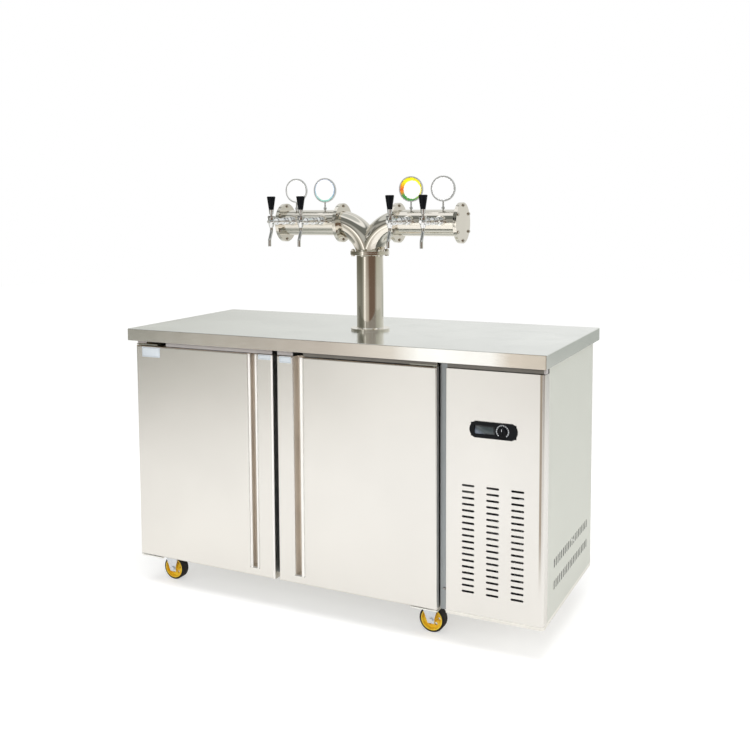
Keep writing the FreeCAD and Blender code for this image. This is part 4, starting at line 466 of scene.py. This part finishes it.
def piece(name, form, body, slot, *materials, place=(0, 0, 0), smooth=True):
    """Turns the bmesh form into an object at place that rides on a CAD body."""
    mesh = bpy.data.meshes.new(name)
    bmesh.ops.recalc_face_normals(form, faces=form.faces)
    form.to_mesh(mesh)
    form.free()
    for made in materials:
        mesh.materials.append(made)
    for face in mesh.polygons:
        face.use_smooth = smooth
    made = bpy.data.objects.new(name, mesh)
    made.location = place
    bpy.context.scene.collection.objects.link(made)
    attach(made, body)
    return made


def sharpen(obj, angle=35):
    """Keeps edges steeper than angle, in degrees, crisp on a smooth-shaded piece."""
    obj.data.set_sharp_from_angle(angle=math.radians(angle))


def rounded_outline(width, height, radius, steps=6):
    """Points of a round-cornered rectangle about the origin, anticlockwise."""
    points = []
    for turn, (sx, sy) in enumerate(((1, 1), (-1, 1), (-1, -1), (1, -1))):
        for step in range(steps + 1):
            angle = math.radians(90 * turn + 90 * step / steps)
            points.append((sx * (width / 2 - radius) + radius * math.cos(angle),
                           sy * (height / 2 - radius) + radius * math.sin(angle)))
    return points


def close(form, loops):
    """Walls between a row of equal loops, and a face on the first and the last of them."""
    for first, second in zip(loops, loops[1:]):
        for index in range(len(first)):
            following = (index + 1) % len(first)
            form.faces.new((first[index], first[following], second[following], second[index]))
    form.faces.new(loops[-1])
    form.faces.new(list(reversed(loops[0])))


def plate(form, outline, back, front, crown):
    """A thin plate facing -Y; back and front are its y levels and crown softens its front edge."""
    half_width, half_height = (max(abs(point[axis]) for point in outline) for axis in (0, 1))
    rings = ((0.0, back), (0.0, front + crown), (crown * 0.3, front + crown * 0.3), (crown, front))
    loops = []
    for inset, y in rings:
        sx, sz = 1 - inset / half_width, 1 - inset / half_height
        loops.append([form.verts.new((x * sx, y, z * sz)) for x, z in outline])
    close(form, loops)


def sweep(form, profile, low, high, levels=6):
    """An XY profile, closed on itself, drawn up in Z from low to high."""
    loops = []
    for level in range(levels + 1):
        z = low + (high - low) * level / levels
        loops.append([form.verts.new((x, y, z)) for x, y in profile])
    close(form, loops)


def lathe(form, profile, steps=64):
    """A turned form about the Y axis from (radius, y) points that start and end on it."""
    loops = []
    for step in range(steps):
        angle = 2 * math.pi * step / steps
        loops.append([form.verts.new((r * math.cos(angle), y, r * math.sin(angle)))
                      for r, y in profile])
    for step in range(steps):
        here, there = loops[step], loops[(step + 1) % steps]
        for index in range(len(profile) - 1):
            form.faces.new((here[index], here[index + 1], there[index + 1], there[index]))
    bmesh.ops.remove_doubles(form, verts=form.verts, dist=1e-7)


# ---------------------------------------------------------------- doors

DOOR_FRONT, DOOR_BOTTOM, DOOR_TOP = LEFT_DOOR.front, LEFT_DOOR.bottom, LEFT_DOOR.top
CHANNEL_NEAR, CHANNEL_FAR = 0.062, 0.096  # from the edges where the doors meet
CHANNELS = {
    "left_door": (LEFT_DOOR.right - CHANNEL_FAR, LEFT_DOOR.right - CHANNEL_NEAR),
    "right_door": (RIGHT_DOOR.left + CHANNEL_NEAR, RIGHT_DOOR.left + CHANNEL_FAR),
}
CHANNEL_BOTTOM = DOOR_BOTTOM + 0.030
LINER_SKIN, LINER_PLAY = 0.0006, 0.0002
LINER_START, LINER_DEPTH = 0.0045, 0.0335  # behind the door's face
# Each lip's distance from the channel's left side, and its width.
LIPS = {"left_door": ((0.0, 0.0085), (0.0265, 0.0075)), "right_door": ((0.0225, 0.0115),)}
LIP_SUNK, LIP_HEIGHT = 0.004, 0.0048
LIP_OVERLAP = 0.004
LIP_TOP = DOOR_TOP - 0.0015
FREE_EDGE_INSET, FREE_EDGE_WIDTH, FREE_EDGE_RISE = 0.0085, 0.0082, 0.0015


def lip_profile(x, width, steps=10):
    """A rolled edge: a half-round bead of that width that stands just proud of the door's face."""
    points = []
    for step in range(steps + 1):
        angle = math.pi * step / steps
        points.append((x + width / 2 - width / 2 * math.cos(angle),
                       DOOR_FRONT + LIP_SUNK - LIP_HEIGHT * math.sin(angle)))
    return points


def make_lip(name, body, x, width, bottom):
    """A rolled edge up a door, in near-white plastic as a painted highlight."""
    form = bmesh.new()
    sweep(form, lip_profile(x, width), bottom, LIP_TOP)
    sharpen(piece(name, form, body, "door_steel", PAINTED_HIGHLIGHT_SATIN))


def make_channels():
    """Finger channels, each a folded liner with rolled edges, and the left door's free edge; the
    rolled edges are painted highlights.
    """
    front, depth = DOOR_FRONT + LINER_START, DOOR_FRONT + LINER_DEPTH
    for body, (near, far) in CHANNELS.items():
        outer = [(near + LINER_PLAY, front), (near + LINER_PLAY, depth),
                 (far - LINER_PLAY, depth), (far - LINER_PLAY, front)]
        inner = [(far - LINER_SKIN, front), (far - LINER_SKIN, depth - LINER_SKIN),
                 (near + LINER_SKIN, depth - LINER_SKIN), (near + LINER_SKIN, front)]
        form = bmesh.new()
        sweep(form, outer + inner, CHANNEL_BOTTOM + LINER_PLAY, DOOR_TOP - LINER_SKIN)
        sharpen(piece(f"{body}_channel_liner", form, body, "door_steel", CHANNEL_SATIN))
        for number, (offset, width) in enumerate(LIPS[body], 1):
            make_lip(f"{body}_channel_lip_{number}", body, near + offset, width,
                     CHANNEL_BOTTOM - LIP_OVERLAP)
    make_lip("left_door_free_edge", "left_door", LEFT_DOOR.right - FREE_EDGE_INSET,
             FREE_EDGE_WIDTH, DOOR_BOTTOM + FREE_EDGE_RISE)


HEADER_TOP = WORKTOP.bottom - 0.0001
HEADER_Y = DOOR_FRONT + 0.0075
HEADER_THICKNESS = 0.0016
# Name, left end, right end, lower edge, depth behind HEADER_Y and finish.
HEADER_STRIPS = (
    ("left_header_trim_1", LEFT_DOOR.left + 0.0025, -0.680, 0.8685, 0.0, HEADER_PAINTED_LIGHT),
    ("left_header_trim_2", -0.596, LEFT_DOOR.right - 0.0040, 0.8622, 0.0, HEADER_PAINTED_LIGHT),
    ("right_header_trim_1", RIGHT_DOOR.left, -0.088, 0.8622, 0.0, HEADER_PAINTED_LIGHT),
    ("right_header_trim_2", -0.050, RIGHT_DOOR.right, 0.8635, 0.0, HEADER_PAINTED_SHADE),
    ("machine_header_trim", FRONT_PANEL.left + 0.0030, FRONT_PANEL.right - 0.0075, 0.8625, 0.0,
     HEADER_PAINTED_SHADE),
    ("machine_header_end", FRONT_PANEL.right - 0.0068, FRONT_PANEL.right - 0.0001, 0.8620, 0.020,
     HEADER_PAINTED_LIGHT),
)


def make_header_trim():
    """Strips in the gap under the worktop: the pale ones are painted light where the gap is in
    shade, the grey ones painted shade.

    They break at a hinge, between the doors and over the right door's channel.
    """
    for name, left, right, low, depth, finish in HEADER_STRIPS:
        form = bmesh.new()
        outline = rounded_outline(right - left, HEADER_TOP - low, 0.0008, 3)
        plate(form, outline, depth, -HEADER_THICKNESS, 0.0003)
        sharpen(piece(name, form, "cabinet", "frame_steel", finish,
                      place=((left + right) / 2, HEADER_Y, (low + HEADER_TOP) / 2)))


# Name, body, middle and size of the films whose print is left blank.
LABELS = (
    ("left_door_rating_blank", "left_door", (-0.6565, 0.8395), (0.077, 0.035)),
    ("left_door_strip_blank", "left_door", (-0.191, 0.852), (0.050, 0.0165)),
    ("right_door_strip_blank", "right_door", (-0.1135, 0.849), (0.045, 0.0215)),
)
LABEL_LIFT = 0.00005
RULE_OUTER, RULE_INNER = 0.0024, 0.0036  # inside the film's edge


def label_print(name, width, height):
    """White film with a printed rule just inside its edge and a faint drift in tone."""
    made, t = material(name)
    x, _, z = t.place_xyz()
    inside = t.math("MINIMUM", t.math("SUBTRACT", width / 2, t.math("ABSOLUTE", x)),
                    t.math("SUBTRACT", height / 2, t.math("ABSOLUTE", z)))
    rule = t.times(t.math("GREATER_THAN", inside, RULE_OUTER),
                   t.math("LESS_THAN", inside, RULE_INNER))
    fibre = t.noise(t.object_place(), 900.0)
    paper = t.mix(t.remap(fibre, 0.3, 0.7), rgb(204, 212, 219), rgb(218, 225, 231))
    tone = t.mix(t.times(rule, 0.55), paper, rgb(96, 108, 124))
    t.finish(Base_Color=tone, Roughness=t.remap(fibre, 0.3, 0.7, 0.3, 0.42), Coat_Weight=0.3,
             Coat_Roughness=0.1, Normal=t.bump(fibre, 0.05, 0.0002))
    return made


def make_labels():
    """The blank films at the tops of the doors."""
    for name, body, (x, z), (width, height) in LABELS:
        form = bmesh.new()
        plate(form, rounded_outline(width, height, 0.0015), 0.0, -0.0004, 0.0001)
        sharpen(piece(name, form, body, "medallion_face",
                      label_print(name + "_film", width, height),
                      place=(x, DOOR_FRONT - LABEL_LIFT, z)))


# ---------------------------------------------------------------- thermostat

WINDOW = Box(BEZEL.left + 0.016, BEZEL.front, BEZEL.bottom + 0.011,
             BEZEL.left + 0.078, BEZEL.back, BEZEL.top - 0.011)
DISPLAY_PLAY, DISPLAY_SUNK = 0.0006, 0.0036
DIAL_X, DIAL_Z = (KNOB.left + KNOB.right) / 2, (KNOB.bottom + KNOB.top) / 2
DIAL_FLOOR = BEZEL.front + 0.0025
PRINT_LIFT, PRINT_THICKNESS = 0.00002, 0.0003
DIAL_MARKS, DIAL_START, DIAL_SWEEP = 27, -45, 270
MARK_END, MARK_FLARE = 0.0198, 1.3
LONG_MARK, SHORT_MARK = (0.0160, 0.00105), (0.0175, 0.0008)  # inner radius and half width
POINTER_WIDTH, POINTER_LENGTH, POINTER_RADIUS = 0.0016, 0.008, 0.0052


def display_glass():
    """Smoked display: dark blue-green glass with a paler cell and a painted sheen in one corner."""
    made, t = material("display_glass")
    place = t.object_place()
    x, _, z = t.split(place)
    cell = t.times(t.math("LESS_THAN", t.math("ABSOLUTE", x), 0.026),
                   t.math("LESS_THAN", t.math("ABSOLUTE", z), 0.0095))
    painted_sheen = t.fade(t.math("ADD", x, t.times(z, 1.6)), -0.012, -0.040)
    drift = t.noise(place, 60.0)
    dark = t.mix(drift, rgb(20, 25, 31), rgb(30, 37, 42))
    tone = t.mix(t.times(cell, 0.75), dark, rgb(58, 70, 74))
    # A painted sheen towards one corner.
    tone = t.mix(t.times(painted_sheen, 0.55), tone, rgb(128, 140, 160))
    t.finish(Base_Color=tone, Roughness=t.remap(drift, 0.3, 0.7, 0.08, 0.16), Coat_Weight=0.5,
             Coat_Roughness=0.04)
    return made


def dial_marks():
    """The printed marks round the knob, every second one longer, about the dial's middle."""
    form = bmesh.new()
    raised = Vector((0, -PRINT_THICKNESS, 0))
    for index in range(DIAL_MARKS):
        turn = math.radians(DIAL_START + DIAL_SWEEP * index / (DIAL_MARKS - 1))
        start, half = SHORT_MARK if index % 2 else LONG_MARK
        lead = Vector((math.cos(turn), 0, math.sin(turn)))
        across = Vector((-math.sin(turn), 0, math.cos(turn)))
        corners = [lead * start - across * half, lead * MARK_END - across * half * MARK_FLARE,
                   lead * MARK_END + across * half * MARK_FLARE, lead * start + across * half]
        close(form, [[form.verts.new(corner) for corner in corners],
                     [form.verts.new(corner + raised) for corner in corners]])
    return form


def make_thermostat():
    """The thermostat's display, dial marks and the pointer on its knob."""
    form = bmesh.new()
    width, height = WINDOW.right - WINDOW.left, WINDOW.top - WINDOW.bottom
    outline = rounded_outline(width - DISPLAY_PLAY, height - DISPLAY_PLAY, 0.003)
    plate(form, outline, 0.0, -0.0012, 0.0003)
    sharpen(piece("thermostat_display", form, "cabinet", "black_gloss", display_glass(),
                  place=((WINDOW.left + WINDOW.right) / 2, BEZEL.front + DISPLAY_SUNK,
                         (WINDOW.bottom + WINDOW.top) / 2)))
    white = plastic("dial_print", rgb(226, 229, 232), rgb(202, 206, 211), 0.4, 600.0, 0.04)
    piece("thermostat_dial_marks", dial_marks(), "cabinet", "black_gloss", white,
          place=(DIAL_X, DIAL_FLOOR + PRINT_LIFT, DIAL_Z), smooth=False)
    form = bmesh.new()
    plate(form, rounded_outline(POINTER_WIDTH, POINTER_LENGTH, 0.0007), 0.0, -PRINT_THICKNESS,
          0.0001)
    piece("thermostat_knob_pointer", form, "knob", "black_gloss", white,
          place=(DIAL_X, KNOB.front - PRINT_LIFT, DIAL_Z + POINTER_RADIUS))


# ---------------------------------------------------------------- medallions

FACE_RADIUS = 0.039
TAP_PITCH = 0.113  # between the two taps of an arm, and so between their medallions
LEFTMOST, RIGHTMOST = MEDALLION_FACES.left + FACE_RADIUS, MEDALLION_FACES.right - FACE_RADIUS
MEDALLIONS = {1: LEFTMOST, 2: LEFTMOST + TAP_PITCH, 3: RIGHTMOST - TAP_PITCH, 4: RIGHTMOST}
MEDALLION_Z = MEDALLION_FACES.bottom + FACE_RADIUS
LENS_LIFT = 0.00005
LENS_PROFILE = (
    (0.0, -0.0016), (0.012, -0.00150), (0.022, -0.00125), (0.031, -0.0009), (0.0365, -0.00055),
    (0.0385, -0.0002), (0.0387, 0.0), (0.0, 0.0),
)
PRINT_WHITE = (0.93, 0.93, 0.93, 1.0)
# Colours round the second and the third medallion, from the left side by way of the bottom.
COOL_BAND = (
    (0.0, rgb(150, 190, 220)), (0.18, rgb(130, 214, 190)), (0.32, rgb(120, 220, 200)),
    (0.45, rgb(120, 170, 214)), (0.8, rgb(196, 200, 226)), (1.0, rgb(150, 190, 220)),
)
WARM_BAND = (
    (0.0, rgb(214, 96, 30)), (0.05, rgb(226, 140, 30)), (0.10, rgb(70, 150, 70)),
    (0.30, rgb(52, 146, 62)), (0.39, rgb(150, 190, 60)), (0.45, rgb(244, 232, 40)),
    (0.86, rgb(252, 236, 12)), (0.93, rgb(246, 176, 24)), (1.0, rgb(220, 92, 30)),
)
# Colour and inner radius of the plain band round the first and the fourth medallion.
PLAIN_BANDS = {1: (rgb(222, 224, 226), 0.0368), 4: (rgb(170, 172, 174), 0.0364)}


def print_colours(t, index):
    """A medallion's plain ring design: a white field inside a band of colour, with no lettering."""
    x, _, z = t.place_xyz()
    angle = t.remap(t.math("ARCTAN2", z, x), -math.pi, math.pi)
    ragged = t.times(t.math("SUBTRACT", t.noise(t.object_place(), 220.0), 0.5), 0.008)

    def radius(dx=0.0, dz=0.0):
        """The distance from a middle that is moved by dx and dz, with a ragged error."""
        squares = (t.math("POWER", t.math("SUBTRACT", value, shift), 2.0)
                   for value, shift in ((x, dx), (z, dz)))
        return t.math("ADD", t.math("SQRT", t.math("ADD", *squares)), ragged)

    if index == 2:
        band = t.remap(radius(0.0, 0.0015), 0.0345, 0.0362, 0.0, 0.85)
        return t.mix(band, PRINT_WHITE, t.ramp(angle, COOL_BAND))
    if index == 3:
        band = t.remap(radius(0.0046, -0.0022), 0.0290, 0.0306)
        tone = t.mix(band, PRINT_WHITE, t.ramp(angle, WARM_BAND))
        flecks = t.noise(t.object_place(place=(0.2, 0.1, 0.4)), 170.0, 2.0, 0.6)
        return t.mix(t.times(t.remap(flecks, 0.66, 0.70), 0.8), tone, rgb(250, 236, 60))
    colour, start = PLAIN_BANDS[index]
    return t.mix(t.remap(radius(), start, start + 0.001, 0.0, 0.9), PRINT_WHITE, colour)


def make_medallions():
    """A domed lens with its print on each medallion's face."""
    for index, x in MEDALLIONS.items():
        made, t = material(f"medallion_print_{index}")
        dust = t.noise(t.object_place(), 90.0)
        t.finish(Base_Color=print_colours(t, index), Roughness=t.remap(dust, 0.3, 0.7, 0.14, 0.24),
                 Coat_Weight=0.4, Coat_Roughness=0.05, Normal=t.bump(dust, 0.02, 0.0003))
        form = bmesh.new()
        lathe(form, LENS_PROFILE)
        sharpen(piece(f"medallion_{index}_lens", form, "cabinet", "medallion_face", made,
                      place=(x, MEDALLION_FACES.front - LENS_LIFT, MEDALLION_Z)))


# ---------------------------------------------------------------- floor

FLOOR_RADIUS = 14.0
MIRRORED_NEAR, MIRRORED_FAR = (0.64, 0.61, 0.54, 1.0), (0.68, 0.67, 0.64, 1.0)
CORNER_BROWN, LEFT_GREY = (0.15, 0.11, 0.08, 1.0), (0.22, 0.22, 0.20, 1.0)
FADE_LEFT, FADE_RIGHT = -2.0, 1.0
MIRRORED_FADE = (
    (0.0, (0.85, 0.82, 0.76, 1.0)), (0.23, (0.90, 0.87, 0.81, 1.0)),
    (0.37, (1.03, 1.01, 0.97, 1.0)), (0.57, (0.93, 0.92, 0.91, 1.0)),
    (0.77, (0.80, 0.79, 0.78, 1.0)), (1.0, (0.80, 0.79, 0.78, 1.0)),
)


def mirrored_floor(t, place, away):
    """The floor's colour in shiny metal: dimmer and warmer than its white, and darker in places."""
    across, forward, _ = t.split(place)
    colour = t.mix(t.fade(away, 0.6, 2.2), MIRRORED_NEAR, MIRRORED_FAR)
    fade = t.ramp(t.remap(across, FADE_LEFT, FADE_RIGHT), MIRRORED_FADE)
    colour = t.mix(1.0, colour, fade, "MULTIPLY")
    corner = t.times(t.fade(across, 0.78, 0.90), t.fade(forward, -0.9, -1.2))
    colour = t.mix(corner, colour, CORNER_BROWN)
    facing = t.add("ShaderNodeLayerWeight", {"Blend": 0.5}).outputs["Facing"]
    steep_left = t.times(t.fade(facing, 0.56, 0.36), t.fade(across, -0.45, -0.85))
    return t.mix(steep_left, colour, LEFT_GREY)


def floor_material():
    """Pale paper that keeps the shadow and glows up to white; its reflection ends in a soft rim."""
    made, t = material("studio_floor")
    path = t.add("ShaderNodeLightPath").outputs
    seen = t.math("MAXIMUM", path["Is Camera Ray"],
                  t.math("MAXIMUM", path["Is Glossy Ray"], path["Is Transmission Ray"]))
    place = t.object_place()
    paper = t.mix(t.noise(place, 3.0), (0.56, 0.56, 0.555, 1.0), (0.58, 0.58, 0.575, 1.0))
    away = t.add("ShaderNodeVectorMath", {0: place}, operation="LENGTH").outputs["Value"]
    shown = t.mix(path["Is Glossy Ray"], WHITE, mirrored_floor(t, place, away))
    level = t.math("ADD", 0.47, t.remap(away, 1.5, 7.0, 0.0, 0.14))
    matt = t.add("ShaderNodeBsdfDiffuse", {"Color": paper}).outputs[0]
    glow = t.add("ShaderNodeEmission",
                 {"Color": shown, "Strength": t.times(seen, level)}).outputs[0]
    both = t.add("ShaderNodeAddShader", {0: matt, 1: glow}).outputs[0]
    beyond = t.times(path["Is Glossy Ray"], t.fade(away, 2.5, 7.0))
    clear = t.add("ShaderNodeBsdfTransparent").outputs[0]
    ended = t.add("ShaderNodeMixShader", {0: beyond, 1: both, 2: clear}).outputs[0]
    t.add("ShaderNodeOutputMaterial", {0: ended})
    return made


def make_floor():
    """A wide round floor at z 0."""
    mesh = bpy.data.meshes.new("studio_floor")
    form = bmesh.new()
    bmesh.ops.create_circle(form, cap_ends=True, segments=96, radius=FLOOR_RADIUS)
    form.to_mesh(mesh)
    form.free()
    mesh.materials.append(floor_material())
    floor = bpy.data.objects.new("studio_floor", mesh)
    bpy.context.scene.collection.objects.link(floor)


# ---------------------------------------------------------------- world

# The room that shiny metal meets, in linear colours. The first two tables go by azimuth in
# degrees, from 0 straight before the front to 90 at its right: the ring at the horizon, and what
# lies below it.
ROOM_LEVEL = (
    (-180, (0.95, 0.95, 0.94)), (-164, (0.94, 0.94, 0.93)), (-152, (0.78, 0.78, 0.75)),
    (-142, (0.52, 0.52, 0.47)), (-120, (0.15, 0.145, 0.11)), (-60, (0.125, 0.12, 0.09)),
    (-42, (0.20, 0.20, 0.16)), (-33, (0.42, 0.41, 0.36)), (-26, (0.62, 0.59, 0.53)),
    (-22, (1.4, 1.38, 1.33)), (-17, (1.4, 1.38, 1.33)), (-13, (0.48, 0.44, 0.39)),
    (10, (0.24, 0.19, 0.15)), (18, (0.16, 0.105, 0.075)), (66, (0.15, 0.105, 0.075)),
    (84, (0.46, 0.46, 0.38)), (150, (0.58, 0.58, 0.54)), (164, (0.8, 0.8, 0.77)),
    (180, (0.95, 0.95, 0.94)),
)
ROOM_BELOW = (
    (-180, (0.95, 0.95, 0.94)), (-150, (0.80, 0.80, 0.77)), (-120, (0.30, 0.30, 0.26)),
    (-50, (0.20, 0.20, 0.17)), (-39, (0.34, 0.34, 0.30)), (-35, (0.48, 0.46, 0.40)),
    (-30.5, (0.60, 0.58, 0.53)), (-26, (0.78, 0.76, 0.71)), (-23, (1.35, 1.35, 1.3)),
    (-19.5, (1.35, 1.35, 1.3)), (-17.5, (0.74, 0.71, 0.66)), (-10, (0.62, 0.58, 0.53)),
    (8, (0.5, 0.46, 0.4)), (20, (0.17, 0.12, 0.09)), (62, (0.17, 0.12, 0.09)),
    (86, (0.60, 0.60, 0.55)), (135, (0.60, 0.60, 0.56)), (154, (0.46, 0.48, 0.45)),
    (172, (0.46, 0.48, 0.45)), (180, (0.80, 0.80, 0.77)),
)
# What lies above the horizon, by elevation in degrees.
ROOM_ABOVE = (
    (6, (0.10, 0.10, 0.085)), (15, (0.17, 0.17, 0.15)), (21, (0.42, 0.42, 0.40)),
    (27, (0.40, 0.40, 0.38)), (32, (0.17, 0.175, 0.16)), (57, (0.17, 0.18, 0.17)),
    (61, (0.95, 0.96, 0.96)), (69, (1.0, 1.0, 1.0)), (73, (0.60, 0.62, 0.61)),
    (90, (0.55, 0.57, 0.56)),
)
DOORWAY = (0.66, 0.68, 0.67, 1.0)
OPEN_SIDE = (0.50, 0.51, 0.49, 1.0)
BEHIND = (0.86, 0.87, 0.86, 1.0)
SOFT_LIGHT = (0.72, 0.72, 0.715, 1.0)


def room_above(t, turn, y, z):
    """The layers overhead, with a bright doorway, paler open sides and a pale rear."""
    colour = t.ramp(z, [(math.sin(math.radians(angle)), shade + (1.0,))
                        for angle, shade in ROOM_ABOVE])
    left, right = math.radians(-37), math.radians(-41)
    doorway = t.times(t.fade(turn, left, right),
                      t.times(t.fade(z, 0.60, 0.64), t.fade(z, 0.80, 0.78)))
    colour = t.mix(doorway, colour, DOORWAY)
    sides = t.math("MAXIMUM", t.fade(turn, math.radians(-75), math.radians(-100)),
                   t.fade(turn, math.radians(-16), math.radians(0)))
    colour = t.mix(t.times(sides, t.fade(z, 0.56, 0.44)), colour, OPEN_SIDE)
    return t.mix(t.times(t.fade(y, 0.1, 0.75), 0.8), colour, BEHIND)


def make_world():
    """White all round; shiny metal also meets the dim room that lies beyond the set."""
    world = bpy.data.worlds.new("studio")
    bpy.context.scene.world = world
    t = Tree(world)
    x, y, z = t.split(t.add("ShaderNodeTexCoord").outputs["Generated"])
    turn = t.math("ARCTAN2", x, t.times(y, -1.0))
    place = t.remap(turn, -math.pi, math.pi)
    level, below = (t.ramp(place, [((angle + 180) / 360, shade + (1.0,)) for angle, shade in room])
                    for room in (ROOM_LEVEL, ROOM_BELOW))
    room = t.mix(t.fade(z, -0.10, -0.05), below, level)
    lit = t.mix(t.fade(z, 0.10, 0.20), room, room_above(t, turn, y, z))
    path = t.add("ShaderNodeLightPath").outputs
    mirror = t.math("MAXIMUM", path["Is Glossy Ray"], path["Is Transmission Ray"])
    soft = t.mix(path["Is Camera Ray"], SOFT_LIGHT, WHITE)
    light = t.add("ShaderNodeBackground", {"Color": t.mix(mirror, soft, lit), "Strength": 1.0})
    t.add("ShaderNodeOutputWorld", {0: light.outputs[0]})


# ---------------------------------------------------------------- lamps

# Name, place, aim, size, power in watts and colour.
LAMPS = (
    ("overhead_softbox", (0.3, -1.0, 4.2), (0, 0, 0.9), (3.6, 2.4), 120, (1.0, 1.0, 1.0)),
    ("front_fill", (1.2, -4.4, 2.6), (0, 0, 0.7), (3.0, 2.0), 60, (1.0, 0.985, 0.96)),
    ("side_fill", (4.4, 0.4, 1.9), (0.4, 0, 0.7), (2.2, 2.0), 40, (1.0, 1.0, 1.0)),
)


def make_lamps():
    """Soft area lamps that neither the camera nor a reflection sees."""
    for name, place, aim, size, power, colour in LAMPS:
        data = bpy.data.lights.new(name, "AREA")
        data.shape, data.size, data.size_y = "RECTANGLE", size[0], size[1]
        data.energy, data.color = power, colour
        lamp = bpy.data.objects.new(name, data)
        bpy.context.scene.collection.objects.link(lamp)
        lamp.location = place
        lamp.rotation_mode = "QUATERNION"
        lamp.rotation_quaternion = (Vector(place) - Vector(aim)).to_track_quat("Z", "Y")
        lamp.visible_glossy = False
        lamp.visible_camera = False


bpy.context.scene.view_settings.view_transform = "Standard"
make_camera()
dress_nodes()
make_floor()
make_world()
make_lamps()
make_channels()
make_header_trim()
make_labels()
make_thermostat()
make_medallions()
